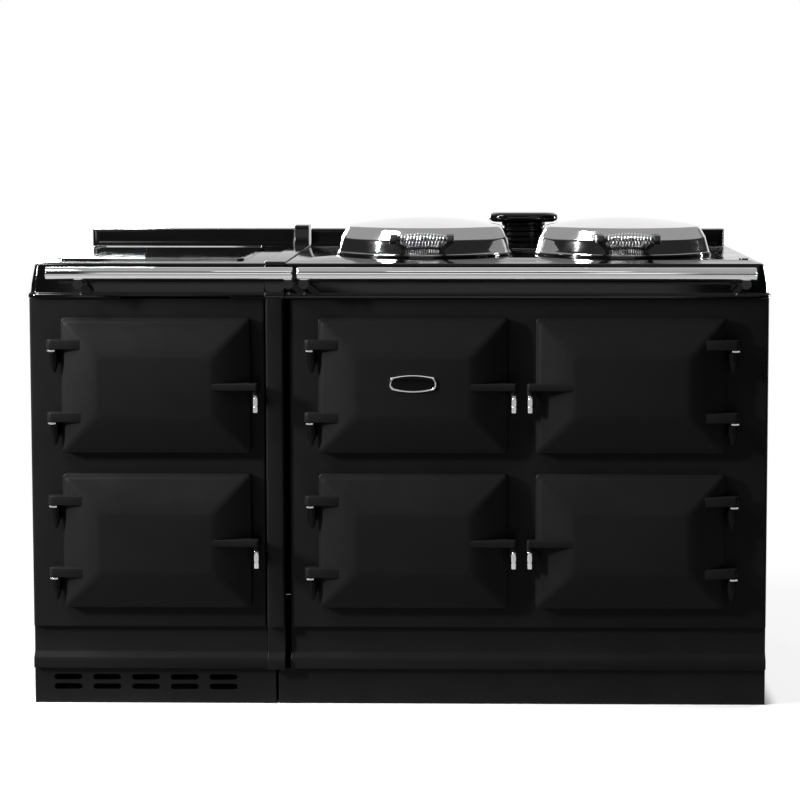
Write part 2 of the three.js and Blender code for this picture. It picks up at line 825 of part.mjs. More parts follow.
// A fluted dial with a pointer ridge, about its own spindle, which runs along Y.
function dial() {
  const skirt = rodY(0, 0, -dialSkirtHeight, 0, dialRadius + dialSkirtOut, dialSkirtFacets);
  const points = [];
  const steps = dialFlutes * dialFluteSteps;
  for (let i = 0; i < steps; i += 1) {
    const angle = 2 * Math.PI * i / steps;
    const radius = dialRadius - dialFluteDepth * (1 + Math.cos(dialFlutes * angle)) / 2;
    points.push([radius * Math.cos(angle), radius * Math.sin(angle)]);
  }
  const grip = alongY(outline(points), -dialHeight, overlap - dialSkirtHeight);
  const pointer = box(-dialPointerWidth / 2, dialPointerWidth / 2,
    -dialHeight - dialPointerProud, -dialHeight + overlap,
    dialPointerStart, dialRadius - dialPointerInset);
  const spindle = rodY(0, 0, -overlap, controlWall + dialSpindleReach, dialSpindleRadius);
  return join([skirt, grip, pointer, spindle]);
}

// ---------------------------------------------------------------- top plates

// The apron's outline: how far it stands outside the body at each height, lip first.
function apronProfile(extra) {
  const lipTop = apronBottom + lipHeight;
  const slopeTop = topHeight - topEdgeRadius;
  const points = [[lipOut + extra, apronBottom], [lipOut + extra, lipTop - lipRound]];
  points.push([lipOut - lipRound / 2 + extra, lipTop]);
  points.push([extra, lipTop + lipCove]);
  for (const share of apronShares) {
    const out = -apronTopIn * share ** apronCurve;
    points.push([out + extra, THREE.MathUtils.lerp(lipTop + lipCove, slopeTop, share)]);
  }
  const edge = arc(-apronTopIn - topEdgeRadius, slopeTop, topEdgeRadius + extra, 0, 0.5, 4);
  return [...points, ...edge.slice(1)];
}

// Plan of a top plate, from the seam round the outer front corner to the back.
function topPlan(seamX, side, out) {
  const cornerX = side * (halfWidth - topCornerRadius);
  const turn = arc(0, 0, topCornerRadius + out, 1.5, 2, 4);
  return [
    [seamX, bodyDepth],
    [seamX, -out],
    ...turn.map(([u, v]) => [cornerX + side * u, topCornerRadius + v]),
    [side * (halfWidth + out), bodyDepth],
  ];
}

// A plate with a moulded apron on its free sides, hollow underneath.
function topPlate(seamX, side) {
  const rings = apronProfile(0).map(([out, z]) => topPlan(seamX, side, out)
    .map(([x, y]) => new THREE.Vector3(x, y, z)));
  const outer = side * (halfWidth - topRim);
  const inner = seamX + side * topRim;
  const hollow = box(Math.min(inner, outer), Math.max(inner, outer), topRim,
    bodyDepth - topRim, apronBottom - overlap, topHeight - topThickness);
  const plug = rodZ(side * (halfWidth - plugInset), plugY, topHeight - overlap,
    topHeight + plugHeight, plugRadius);
  return cut(loft(rings), [hollow]).add(plug);
}

function lidPedestals(x) {
  return [-1, 1].map((side) => {
    const inner = x + side * (lidBarrelLength / 2 + gap);
    const outer = inner + side * pedestalWidth;
    const profile = [
      [lidHingeY - pedestalRadius, topHeight - overlap],
      [lidHingeY + pedestalRadius, topHeight - overlap],
      ...arc(lidHingeY, lidHingeZ, pedestalRadius, 0, 1, 6),
    ];
    const post = alongX(profile, Math.min(inner, outer), Math.max(inner, outer));
    const bore = rodX(Math.min(inner, outer) - overlap, Math.max(inner, outer) + overlap,
      lidHingeY, lidHingeZ, lidPinRadius + lidPinClearance);
    return post.subtract(bore);
  });
}

function mainTopPlate() {
  const plate = topPlate(jointX + gap / 2, 1);
  const rings = [leftLidX, rightLidX].map((x) => rodZ(x, lidY, topHeight - overlap,
    topHeight + ringHeight, lidRadius + ringOut, lidFacets));
  const holes = [leftLidX, rightLidX].map((x) => rodZ(x, lidY,
    topHeight - topThickness - overlap, topHeight + ringHeight + overlap, ringRadius, lidFacets));
  const pedestals = [leftLidX, rightLidX].flatMap(lidPedestals);
  return join([cut(join([plate, ...rings]), holes), ...pedestals]);
}

// A strip with the apron's own profile that covers the seam and ends in a block at the back.
function jointStrip() {
  const inner = apronProfile(gap).map(([out, z]) => [-out, z]);
  const outer = apronProfile(stripThickness).map(([out, z]) => [-out, z]);
  const innerTop = topHeight + gap;
  const outerTop = topHeight + stripThickness;
  const profile = [
    ...outer,
    [bodyDepth, outerTop],
    [bodyDepth, innerTop],
    ...inner.reverse(),
  ];
  const strip = alongX(profile, jointX - stripWidth / 2, jointX + stripWidth / 2);
  const half = stripBlockWidth / 2;
  const top = topHeight + stripBlockHeight;
  const front = riserY - stripBlockAhead;
  const block = alongX([
    [front, outerTop - overlap],
    [bodyDepth, outerTop - overlap],
    [bodyDepth, top - stripBlockChamfer],
    [bodyDepth - stripBlockChamfer, top],
    ...arc(front + stripBlockRound, top - stripBlockRound, stripBlockRound, 0.5, 1, 4),
  ], jointX - half, jointX + half);
  return strip.add(block);
}

// A raised back rail with a cove at its foot and a rolled top edge.
function riser(x0, x1) {
  const foot = topHeight + gap;
  const top = topHeight + riserHeight;
  const profile = [
    [bodyDepth, foot],
    [bodyDepth, top - riserChamfer],
    [bodyDepth - riserChamfer, top],
    ...arc(riserY + riserCove + riserRoll, top - riserRoll, riserRoll, 0.5, 1, 5),
    ...arc(riserY, foot + riserToeHeight + riserCove, riserCove, 2, 1.5, 5),
    [riserY - riserToe, foot],
  ];
  return alongX(profile, x0, x1);
}

// Rounds the outer end of a riser in plan.
function roundEnd(body, end, side) {
  const front = riserY - riserToe - overlap;
  const corner = [
    [end + side * overlap, front],
    [end + side * overlap, riserY + riserCove + riserEndRadius],
    ...arc(end - side * riserEndRadius, riserY + riserCove + riserEndRadius, riserEndRadius,
      side > 0 ? 2 : 1, 1.5, 5),
    [end - side * riserEndRadius, front],
  ];
  return body.subtract(alongZ(outline(corner), topHeight - overlap,
    topHeight + riserHeight + overlap));
}

// ---------------------------------------------------------------- vent cowl

function ventRing(width, depth, z) {
  return roundedPoints(ventX, ventY, width, depth, depth / 2 - ventEndFlat, 3)
    .map(([x, y]) => new THREE.Vector3(x, y, z));
}

// A stem of stacked fins with a groove between each pair.
function ventStem() {
  const base = topHeight + gap;
  const pitch = ventHeight / (ventFins + 1);
  const inWidth = ventWidth - 2 * ventFinInset;
  const inDepth = ventDepth - 2 * ventFinInset;
  const rings = [ventRing(ventWidth, ventDepth, base)];
  for (let i = 1; i <= ventFins; i += 1) {
    const z = base + pitch * i;
    rings.push(ventRing(ventWidth, ventDepth, z - pitch * ventMouthShare));
    rings.push(ventRing(inWidth, inDepth, z - pitch * ventRootShare));
    rings.push(ventRing(inWidth, inDepth, z + pitch * ventRootShare));
    rings.push(ventRing(ventWidth, ventDepth, z + pitch * ventMouthShare));
  }
  rings.push(ventRing(ventWidth, ventDepth, topHeight + ventHeight - gap));
  return loft(rings);
}

function ventCap() {
  return loft(ventCapProfile.map(([inset, height]) => ventRing(
    ventCapWidth - 2 * inset, ventCapDepth - 2 * inset, topHeight + ventHeight + height)));
}

// ---------------------------------------------------------------- hotplates and lids

function hotplate(x) {
  const top = topHeight + hotplateProud;
  return turned([
    [0, top - hotplateThickness],
    [hotplateRadius, top - hotplateThickness],
    [hotplateRadius, topHeight - topThickness],
    [hotplateRadius + hotplateFlange, topHeight - topThickness + hotplateSeatRise],
    [hotplateRadius + hotplateFlange, top - hotplateChamfer],
    [hotplateRadius + hotplateFlange - hotplateChamfer, top],
    [0, top],
  ], x, lidY, lidFacets);
}

// A lid's steep wall up to a crease, and the sloping band over it; shrink moves them inwards.
function lidWall(shrink) {
  return [
    [lidRadius - shrink, lidBaseZ + lidWallFoot],
    [lidRadius - lidCreaseIn - shrink, lidBaseZ + lidCreaseHeight],
    [lidShoulderRadius - shrink, lidBaseZ + lidBandHeight - shrink],
  ];
}

// The shoulder's bend and the dome, up to the middle.
function lidDome() {
  const crown = lidBaseZ + lidWallHeight;
  const reach = lidShoulderRadius - lidShoulderBend;
  const bend = arc(reach, crown - lidShoulderBend, lidShoulderBend,
    ...lidBendAngles, 1);
  const dome = lidDomeShares.map((share) => (
    [reach * share, crown + lidDomeHeight * (1 - share ** 2)]));
  return [...bend, ...dome, [0, crown + lidDomeHeight]];
}

// The lid's inside: its wall, and a plain cone under the dome.
function lidInside(shrink) {
  const crown = lidBaseZ + lidWallHeight - shrink;
  const reach = lidShoulderRadius - lidShoulderBend;
  return [...lidWall(shrink), [reach, crown], [0, crown + lidDomeHeight - lidSheet]];
}

// The polished cover: a dome shell with a rolled rim, a hinge tongue, a barrel and its pin.
function lidCover(x) {
  const dome = turned([
    [0, lidBaseZ],
    [lidRadius + lidRimOut, lidBaseZ],
    [lidRadius + lidRimOut, lidBaseZ + lidRimHeight],
    ...lidWall(0),
    ...lidDome(),
  ], x, lidY, lidFacets);
  const core = turned([
    [0, lidBaseZ - overlap],
    [lidRadius - lidSheet, lidBaseZ - overlap],
    ...lidInside(lidSheet),
  ], x, lidY, lidFacets);
  const wallY = lidY + lidRadius - lidTongueRoot;
  const tongueZ = lidHingeZ - lidTongueThickness / 2;
  const tongue = box(x - lidTongueWidth / 2, x + lidTongueWidth / 2, wallY, lidHingeY,
    tongueZ, tongueZ + lidTongueThickness);
  const barrel = rodX(x - lidBarrelLength / 2, x + lidBarrelLength / 2, lidHingeY, lidHingeZ,
    lidBarrelRadius);
  const pinReach = lidBarrelLength / 2 + gap + pedestalWidth;
  const pin = rodX(x - pinReach, x + pinReach, lidHingeY, lidHingeZ, lidPinRadius);
  return join([dome.add(tongue).subtract(core), barrel, pin]);
}

// The insulated pad inside a lid.
function lidPad(x) {
  const inset = lidSheet + gap;
  return turned([
    [0, lidBaseZ + lidRimHeight],
    [lidRadius - inset, lidBaseZ + lidRimHeight],
    ...lidInside(inset),
  ], x, lidY, lidFacets);
}

const handleY = lidY - lidRadius - handleAhead;
const handleZ = topHeight + handleRise;

// The bar and the two posts that hold it off the lid's wall.
function lidHandle(x) {
  const reach = coilLength / 2;
  const bar = rodX(x - reach - handleBarReach, x + reach + handleBarReach, handleY, handleZ,
    handleBarRadius, handleBarFacets);
  const lidBody = turned([
    [0, lidBaseZ - overlap],
    [lidRadius + lidRimOut + gap, lidBaseZ - overlap],
    [lidRadius + lidRimOut + gap, lidBaseZ + lidRimHeight],
    ...lidWall(-gap),
    [0, lidBaseZ + lidWallHeight],
  ], x, lidY, lidFacets);
  const posts = [-1, 1].map((side) => {
    const near = x + side * reach;
    const far = near + side * handlePostWidth;
    const end = lidY - lidRadius + handlePostRoot;
    const profile = [
      ...arc(handleY, handleZ, handlePostRadius, 0.5, 1.5, 6),
      [end, handleZ - handlePostRadius],
      [end, handleZ + handlePostRadius],
    ];
    return alongX(profile, Math.min(near, far), Math.max(near, far)).subtract(lidBody);
  });
  return join([bar, ...posts]);
}

// The coil's middle line: straight into each post, and a barrel-shaped helix between.
function coilPath() {
  const straight = 2 * coilWireRadius;
  const wound = coilLength - 2 * gap - 2 * straight;
  const start = -coilLength / 2 + gap;
  const points = [new THREE.Vector3(start, 0, coilEndRadius)];
  const steps = coilTurns * coilStepsPerTurn;
  for (let i = 0; i <= steps; i += 1) {
    const t = i / steps;
    const angle = 2 * Math.PI * i / coilStepsPerTurn;
    const swell = Math.sin(Math.PI * t) ** coilSwell;
    const radius = coilEndRadius + (coilMidRadius - coilEndRadius) * swell;
    points.push(new THREE.Vector3(start + straight + wound * t,
      radius * Math.sin(angle), radius * Math.cos(angle)));
  }
  points.push(new THREE.Vector3(-start, 0, coilEndRadius));
  return points;
}

// One unbroken tube along a path, with a ring of points at each step.
function tube(path, radius, sides) {
  const tangents = path.map((point, i) => {
    const before = path[Math.max(i - 1, 0)];
    const after = path[Math.min(i + 1, path.length - 1)];
    return after.clone().sub(before).normalize();
  });
  const normal = new THREE.Vector3(0, 1, 0);
  const rings = path.map((point, i) => {
    normal.addScaledVector(tangents[i], -normal.dot(tangents[i])).normalize();
    const across = tangents[i].clone().cross(normal);
    const ring = [];
    for (let k = 0; k < sides; k += 1) {
      const angle = 2 * Math.PI * k / sides;
      ring.push(point.clone()
        .addScaledVector(normal, radius * Math.cos(angle))
        .addScaledVector(across, radius * Math.sin(angle)));
    }
    return ring;
  });
  return loft(rings);
}

// Least distance between the surfaces of two turns that aren't joined along the wire.
function leastCoilGap(path) {
  let least = Infinity;
  for (let i = 0; i < path.length; i += 1) {
    for (let j = i + coilStepsPerTurn - 2; j < path.length; j += 1) {
      least = Math.min(least, path[i].distanceTo(path[j]));
    }
  }
  return least - 2 * coilWireRadius;
}

function lidCoil(x) {
  return tube(coilPath(), coilWireRadius, coilSides).translate([x, handleY, handleZ]);
}

// Each lid is its own group, placed at its hinge axis.
function addLid(cooker, name, x) {
  const hinge = new THREE.Group();
  hinge.position.set(x, lidHingeY, lidHingeZ);
  cooker.add(hinge);
  const shut = new THREE.Group();
  shut.position.set(-x, -lidHingeY, -lidHingeZ);
  hinge.add(shut);
  addPiece(shut, name, lidCover(x), chrome);
  addPiece(shut, `${name}_pad`, lidPad(x), steel);
  addPiece(shut, `${name}_handle`, lidHandle(x), blackPlastic);
  addPiece(shut, `${name}_handle_coil`, lidCoil(x), chrome);
}

// ---------------------------------------------------------------- glass hob and handrails

function hobOutline(grow) {
  const width = hobRight - hobLeft + 2 * grow;
  const depth = hobDepth + 2 * grow;
  return outline(roundedPoints((hobLeft + hobRight) / 2, hobFront + hobDepth / 2,
    width, depth, hobCornerRadius + grow, 3));
}

function hobGlass() {
  return alongZ(hobOutline(0), topHeight + gap, topHeight + gap + hobGlassThickness);
}

function hobTrim() {
  const frame = alongZ(hobOutline(hobTrimWidth), topHeight + gap, topHeight + gap + hobTrimHeight);
  return frame.subtract(alongZ(hobOutline(gap), topHeight, topHeight + hobTrimHeight + overlap));
}

// A tube with closed, slightly rounded ends on two posts from the apron.
function handrail(rail) {
  const bend = railEndBend;
  const profile = [
    [0, rail.from], [railRadius - bend, rail.from], [railRadius, rail.from + bend],
    [railRadius, rail.to - bend], [railRadius - bend, rail.to], [0, rail.to],
  ];
  const geometry = new THREE.LatheGeometry(
    profile.map(([radius, along]) => new THREE.Vector2(radius, along)), railFacets);
  geometry.rotateZ(-Math.PI / 2);
  geometry.translate(0, -railAhead, railHeight);
  const posts = rail.posts.map((x) => rodY(x, railPostHeight,
    -railAhead - railPostAhead, railPostReach, railPostRadius));
  const apron = alongX([
    ...apronProfile(gap).map(([out, z]) => [-out, z]),
    [bodyDepth, topHeight],
    [bodyDepth, apronBottom],
  ], -bodyWidth, bodyWidth);
  return join([solid(geometry), ...posts]).subtract(apron);
}

// ---------------------------------------------------------------- panels and the pillar

function pillar() {
  const profile = [
    [pillarRight, pillarDepth - pillarProud],
    [pillarLeft, pillarDepth - pillarProud],
    ...arc(pillarLeft + pillarEdgeRadius, pillarEdgeRadius - pillarProud, pillarEdgeRadius,
      1, 1.5, 4),
    ...arc(pillarRight - pillarEdgeRadius, pillarEdgeRadius - pillarProud, pillarEdgeRadius,
      1.5, 2, 4),
  ];
  const upper = alongZ(outline(profile), mouldingTop, plateTop);
  const foot = alongX(mouldingProfile(pillarDepth - pillarProud, pillarProud, mouldingTop + overlap),
    pillarLeft, pillarRight);
  return upper.add(foot);
}

function sidePanel(side) {
  const outer = side * halfWidth;
  const inner = side * (halfWidth - panelThickness);
  return box(Math.min(outer, inner), Math.max(outer, inner), plateThickness + gap + sidePanelSetBack,
    bodyDepth - backPanelInset, plinthHeight, plateTop);
}

function backPanel(x0, x1) {
  const back = bodyDepth - backPanelInset - gap;
  return box(x0, x1, back - panelThickness, back, plinthHeight, plateTop);
}

// ---------------------------------------------------------------- the cooker

const cooker = new THREE.Group();
cooker.position.set(0, frontY, 0);

const leftDoors = doors.filter((spec) => spec.x === leftDoorX);
const mainDoors = doors.filter((spec) => spec.x !== leftDoorX);
const controlDoor = doors.find((spec) => spec.name === 'main_upper_left_door');
const seam = jointX + plinthSeam / 2;

addPiece(cooker, 'left_plinth', plinth(-halfWidth, seam - plinthSeam, louvres()), blackSheet);
addPiece(cooker, 'main_plinth', plinth(seam, halfWidth, []), blackSheet);
addPiece(cooker, 'left_base_moulding', moulding(-halfWidth, pillarLeft - gap), satinEnamel);
addPiece(cooker, 'main_base_moulding', moulding(mainPlateLeft, halfWidth), satinEnamel);
addPiece(cooker, 'left_front_plate',
  frontPlate(-halfWidth, pillarLeft - gap, leftDoors), satinEnamel);
addPiece(cooker, 'main_front_plate',
  frontPlate(mainPlateLeft, halfWidth, mainDoors), satinEnamel);
addPiece(cooker, 'joint_pillar', pillar(), satinEnamel);
addPiece(cooker, 'left_side_panel', sidePanel(-1), satinEnamel);
addPiece(cooker, 'right_side_panel', sidePanel(1), satinEnamel);
const panelInner = halfWidth - panelThickness - gap;
addPiece(cooker, 'left_back_panel', backPanel(-panelInner, jointX - gap / 2), blackSheet);
addPiece(cooker, 'main_back_panel', backPanel(jointX + gap / 2, panelInner), blackSheet);

for (const spec of doors) {
  if (spec === controlDoor) {
    addPiece(cooker, 'control_compartment', controlBox(spec), steel);
  } else {
    addPiece(cooker, spec.name.replace('door', 'oven'), oven(spec), barePlate);
  }
  addDoor(cooker, spec);
}
['left_hotplate_dial', 'oven_dial', 'right_hotplate_dial'].forEach((name, i) => {
  const spindle = new THREE.Group();
  spindle.position.set(dialX(controlDoor, i), controlPanelFace() - gap, controlDoor.z);
  cooker.add(spindle);
  addPiece(spindle, name, dial(), blackPlastic);
});

const airSlotLeft = airSlotInset - halfWidth;
const airSlot = box(airSlotLeft, airSlotLeft + airSlotWidth, -lipOut - overlap, topRim + overlap,
  apronBottom - overlap, apronBottom + airSlotHeight);
addPiece(cooker, 'left_top_plate',
  cut(topPlate(jointX - gap / 2, -1), [airSlot]), glossEnamel);
addPiece(cooker, 'main_top_plate', mainTopPlate(), glossEnamel);
addPiece(cooker, 'joint_strip', jointStrip(), glossEnamel);
const stripHalf = stripWidth / 2 + gap;
const leftRiserEnd = leftRiserInset - halfWidth;
const mainRiserEnd = halfWidth - mainRiserInset;
addPiece(cooker, 'left_back_riser',
  roundEnd(riser(leftRiserEnd, jointX - stripHalf), leftRiserEnd, -1), glossEnamel);
addPiece(cooker, 'main_back_riser',
  roundEnd(riser(jointX + stripHalf, mainRiserEnd), mainRiserEnd, 1), glossEnamel);
addPiece(cooker, 'vent_stem', ventStem(), glossEnamel);
addPiece(cooker, 'vent_cap', ventCap(), glossEnamel);
addPiece(cooker, 'hob_glass', hobGlass(), blackGlass);
addPiece(cooker, 'hob_trim', hobTrim(), chrome);
addPiece(cooker, 'left_hotplate', hotplate(leftLidX), barePlate);
addPiece(cooker, 'right_hotplate', hotplate(rightLidX), barePlate);
addPiece(cooker, 'left_handrail', handrail(leftRail), chrome);
addPiece(cooker, 'main_handrail', handrail(mainRail), chrome);
addLid(cooker, 'left_lid', leftLidX);
addLid(cooker, 'right_lid', rightLidX);

console.log(`Least gap between the lid handle's turns: ${leastCoilGap(coilPath()).toFixed(2)} mm`);

export default cooker;
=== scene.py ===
"""Looks of a black enamelled cast iron range cooker: smooth castings, chrome, glass and enamel.

Metres, +Z up, the front faces -Y. Places come from the solids of the frame.
"""
import json
import math

import bmesh
import bpy
from mathutils import Matrix, Vector

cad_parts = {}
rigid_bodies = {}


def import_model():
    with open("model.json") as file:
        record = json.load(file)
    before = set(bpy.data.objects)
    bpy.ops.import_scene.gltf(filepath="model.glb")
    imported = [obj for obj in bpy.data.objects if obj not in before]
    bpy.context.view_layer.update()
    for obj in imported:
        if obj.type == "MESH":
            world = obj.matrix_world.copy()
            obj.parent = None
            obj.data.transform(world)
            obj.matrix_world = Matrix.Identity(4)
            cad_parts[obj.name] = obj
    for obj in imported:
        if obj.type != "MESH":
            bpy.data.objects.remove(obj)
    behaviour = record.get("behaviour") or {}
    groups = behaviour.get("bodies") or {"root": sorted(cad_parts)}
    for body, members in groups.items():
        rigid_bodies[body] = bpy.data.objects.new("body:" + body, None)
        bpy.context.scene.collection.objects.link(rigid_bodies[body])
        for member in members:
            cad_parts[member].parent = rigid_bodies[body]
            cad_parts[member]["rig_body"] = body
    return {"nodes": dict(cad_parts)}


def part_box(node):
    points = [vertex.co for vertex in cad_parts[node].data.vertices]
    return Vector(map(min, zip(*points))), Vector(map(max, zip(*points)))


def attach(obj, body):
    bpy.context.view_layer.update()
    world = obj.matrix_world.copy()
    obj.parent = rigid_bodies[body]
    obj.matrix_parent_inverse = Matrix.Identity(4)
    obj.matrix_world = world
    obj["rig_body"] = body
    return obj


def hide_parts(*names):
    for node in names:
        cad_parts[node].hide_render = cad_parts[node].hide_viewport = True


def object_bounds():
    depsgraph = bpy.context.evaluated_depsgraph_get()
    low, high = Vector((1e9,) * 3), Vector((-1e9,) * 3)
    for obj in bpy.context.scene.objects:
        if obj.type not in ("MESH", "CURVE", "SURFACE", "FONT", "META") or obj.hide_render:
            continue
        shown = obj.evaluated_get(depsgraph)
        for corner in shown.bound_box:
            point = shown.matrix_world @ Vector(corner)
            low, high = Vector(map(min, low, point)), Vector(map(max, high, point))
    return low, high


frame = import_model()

CAD_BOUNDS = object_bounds()
MM = 0.001
WHITE = (1.0, 1.0, 1.0, 1.0)

# ------------------------------------------------------------------ places read from the frame

PLATE_THICKNESS = 14 * MM
GLASS_PROUD = 4.3 * MM      # the hob's glass over the top plate


def low(node):
    return Vector(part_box(node)[0])


def high(node):
    return Vector(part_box(node)[1])


def middle(node):
    return (low(node) + high(node)) / 2


FRONT_Y = high("left_front_plate").y - PLATE_THICKNESS
TOP_Z = high("hob_glass").z - GLASS_PROUD

# ------------------------------------------------------------------ camera

CAMERA_FROM_FRONT = 4.209
CAMERA_X = 0.1735
CAMERA_Z = 1.1521
CAMERA_PITCH = 0.0773       # radians down
CAMERA_YAW = 0.0140         # radians to the left
CAMERA_LENS = 95.75         # mm
CAMERA_SENSOR = 36.0        # mm wide
CAMERA_SHIFT = (-0.07, -0.13)
CAMERA_RANGE = (0.05, 60.0)  # the nearest and the furthest that it sees


def add_camera():
    data = bpy.data.cameras.new("camera")
    data.sensor_width = CAMERA_SENSOR
    data.lens = CAMERA_LENS
    data.shift_x, data.shift_y = CAMERA_SHIFT
    data.clip_start, data.clip_end = CAMERA_RANGE
    camera = bpy.data.objects.new("camera", data)
    bpy.context.scene.collection.objects.link(camera)
    camera.location = (CAMERA_X, FRONT_Y - CAMERA_FROM_FRONT, CAMERA_Z)
    camera.rotation_euler = (math.pi / 2 - CAMERA_PITCH, 0.0, CAMERA_YAW)
    bpy.context.scene.camera = camera


add_camera()

# ------------------------------------------------------------------ materials

NOISE_MIDDLE = (0.3, 0.7)   # the values of a noise that tones and roughness are spread over


class Graph:
    """The nodes of a material or of the world, with helpers that add to them."""

    def __init__(self, owner):
        owner.use_nodes = True
        self.nodes = owner.node_tree.nodes
        self.links = owner.node_tree.links

    def spread(self, value, span, ends, soft=False):
        """Maps a span of the value to the two ends, evenly or as a soft step."""
        node = self.nodes.new("ShaderNodeMapRange")
        if soft:
            node.interpolation_type = "SMOOTHSTEP"
        for name, number in zip(("From Min", "From Max", "To Min", "To Max"), (*span, *ends)):
            node.inputs[name].default_value = number
        self.links.new(value, node.inputs["Value"])
        return node.outputs["Result"]

    def calculate(self, operation, *values):
        """One step of arithmetic on values, each an output or a number."""
        node = self.nodes.new("ShaderNodeMath")
        node.operation = operation
        for socket, value in zip(node.inputs, values):
            if isinstance(value, float):
                socket.default_value = value
            else:
                self.links.new(value, socket)
        return node.outputs[0]

    def white(self, kind, strength):
        """A white shader of its kind, as bright as an output says."""
        node = self.nodes.new(kind)
        node.inputs["Color"].default_value = WHITE
        self.links.new(strength, node.inputs["Strength"])
        return node.outputs[0]

    def mix(self, share, first, second):
        """A mix of two shaders; share is how much of it is the second."""
        node = self.nodes.new("ShaderNodeMixShader")
        for socket, value in zip(node.inputs, (share, first, second)):
            self.links.new(value, socket)
        return node.outputs[0]

    def show_apart(self, plain, shown, target):
        """Shows one shader to the camera and in mirrors and glass, and the plain one to the rest."""
        ray = self.nodes.new("ShaderNodeLightPath").outputs
        seen = self.calculate("MAXIMUM", ray["Is Camera Ray"], ray["Is Glossy Ray"])
        seen = self.calculate("MAXIMUM", seen, ray["Is Transmission Ray"])
        self.links.new(self.mix(seen, plain, shown), target)


class Finish(Graph):
    """A mottled material, and its slot in the record.

    color, roughness and metallic are its plain values. tones are its darkest and palest colour and
    shine its least and greatest roughness, each spread over a noise. A noise is (features per
    metre, detail), and a bump is (noise, depth in metres, strength). sockets are further values of
    the shader, by name.
    """

    def __init__(self, name, color, roughness, tones, tone_noise, shine, shine_noise, bumps=(),
                 metallic=0.0, slot=None, **sockets):
        self.slot = slot or name
        self.material = bpy.data.materials.new(name)
        super().__init__(self.material)
        self.place = self.nodes.new("ShaderNodeTexCoord").outputs["Object"]
        shader = self.nodes["Principled BSDF"].inputs
        shader["Base Color"].default_value = (*color, 1.0)
        shader["Roughness"].default_value = roughness
        shader["Metallic"].default_value = metallic
        for key, value in sockets.items():
            shader[key.replace("_", " ")].default_value = value
        self.links.new(self.ramp(self.noise(*tone_noise), tones), shader["Base Color"])
        self.links.new(self.spread(self.noise(*shine_noise), NOISE_MIDDLE, shine), shader["Roughness"])
        if bumps:
            self.links.new(self.bump(bumps), shader["Normal"])

    def noise(self, scale, detail, roughness=0.5, stretch=(1.0, 1.0, 1.0)):
        """Noise in object space; scale is in features per metre."""
        mapping = self.nodes.new("ShaderNodeMapping")
        mapping.inputs["Scale"].default_value = stretch
        self.links.new(self.place, mapping.inputs["Vector"])
        noise = self.nodes.new("ShaderNodeTexNoise")
        noise.inputs["Scale"].default_value = scale
        noise.inputs["Detail"].default_value = detail
        noise.inputs["Roughness"].default_value = roughness
        self.links.new(mapping.outputs["Vector"], noise.inputs["Vector"])
        return noise.outputs["Fac"]

    def ramp(self, value, tones):
        """Runs from the first tone to the second over the middle of a noise."""
        node = self.nodes.new("ShaderNodeValToRGB")
        for element, position, color in zip(node.color_ramp.elements, NOISE_MIDDLE, tones):
            element.position = position
            element.color = (*color, 1.0)
        self.links.new(value, node.inputs["Fac"])
        return node.outputs["Color"]

    def bump(self, bumps):
        """The surface's normal with each bump laid over the one before."""
        normal = None
        for noise, depth, strength in bumps:
            node = self.nodes.new("ShaderNodeBump")
            node.inputs["Distance"].default_value = depth
            node.inputs["Strength"].default_value = strength
            self.links.new(self.noise(*noise), node.inputs["Height"])
            if normal is not None:
                self.links.new(normal, node.inputs["Normal"])
            normal = node.outputs["Normal"]
        return normal


# Vitreous enamel on a casting: near black, satin, with the casting's slow waves.
SATIN = Finish("satin_enamel", (0.0088, 0.0088, 0.0092), 0.4,
               tones=((0.0078, 0.0078, 0.0082), (0.0096, 0.0096, 0.01)), tone_noise=(7.0, 4.0),
               shine=(0.38, 0.46), shine_noise=(24.0, 5.0),
               bumps=(((16.0, 2.0), 0.0006, 0.25), ((900.0, 2.0), 0.00004, 0.35)),
               Specular_IOR_Level=0.09)

# The same enamel polished by use on the top: glossier, with faint orange peel.
GLOSS = Finish("gloss_enamel", (0.004, 0.004, 0.0045), 0.08,
               tones=((0.0018, 0.0018, 0.002), (0.0028, 0.0028, 0.003)), tone_noise=(9.0, 3.0),
               shine=(0.05, 0.12), shine_noise=(18.0, 5.0),
               bumps=(((20.0, 2.0), 0.0004, 0.15), ((650.0, 2.0), 0.00003, 0.25)),
               Specular_IOR_Level=0.3)

# The enamel of the upright castings at the back: rougher and duller than the top plates, and a darker
# copy of their black, which is painted shade.
SHADED_RISER = Finish("riser_enamel", (0.0024, 0.0024, 0.0026), 0.22,
               tones=((0.0018, 0.0018, 0.002), (0.0028, 0.0028, 0.003)), tone_noise=(9.0, 3.0),
               shine=(0.18, 0.28), shine_noise=(20.0, 5.0),
               bumps=(((18.0, 2.0), 0.0005, 0.2), ((800.0, 2.0), 0.00003, 0.3)),
               slot="gloss_enamel", Specular_IOR_Level=0.05)

# A deeper black: on the hinge brackets and studs it is painted shade, the shadow under the arms; on the
# badge it is its middle's own black.
BRACKET_SHADE_AND_BADGE_BLACK = Finish("hinge_enamel", (0.0025, 0.0025, 0.0027), 0.15,
               tones=((0.002, 0.002, 0.0022), (0.003, 0.003, 0.0032)), tone_noise=(30.0, 3.0),
               shine=(0.12, 0.22), shine_noise=(60.0, 4.0),
               bumps=(((300.0, 3.0), 0.0001, 0.4),),
               slot="satin_enamel", Specular_IOR_Level=0.1)

CHROME_SHADE = 0.96         # the darkest chrome, as a share of its palest


def chrome(name, color, roughness, shine):
    """Polished chrome with faint clouds in its shine."""
    shaded = tuple(channel * CHROME_SHADE for channel in color)
    return Finish(name, color, roughness, tones=(shaded, color), tone_noise=(30.0, 4.0),
                  shine=shine, shine_noise=(45.0, 6.0), bumps=(((60.0, 2.0), 0.0001, 0.08),),
                  metallic=1.0, slot="polished_chrome")


CHROME = chrome("polished_chrome", (0.88, 0.88, 0.885), 0.03, (0.03, 0.07))
LID_METAL = chrome("lid_metal", (0.74, 0.74, 0.745), 0.04, (0.04, 0.09))

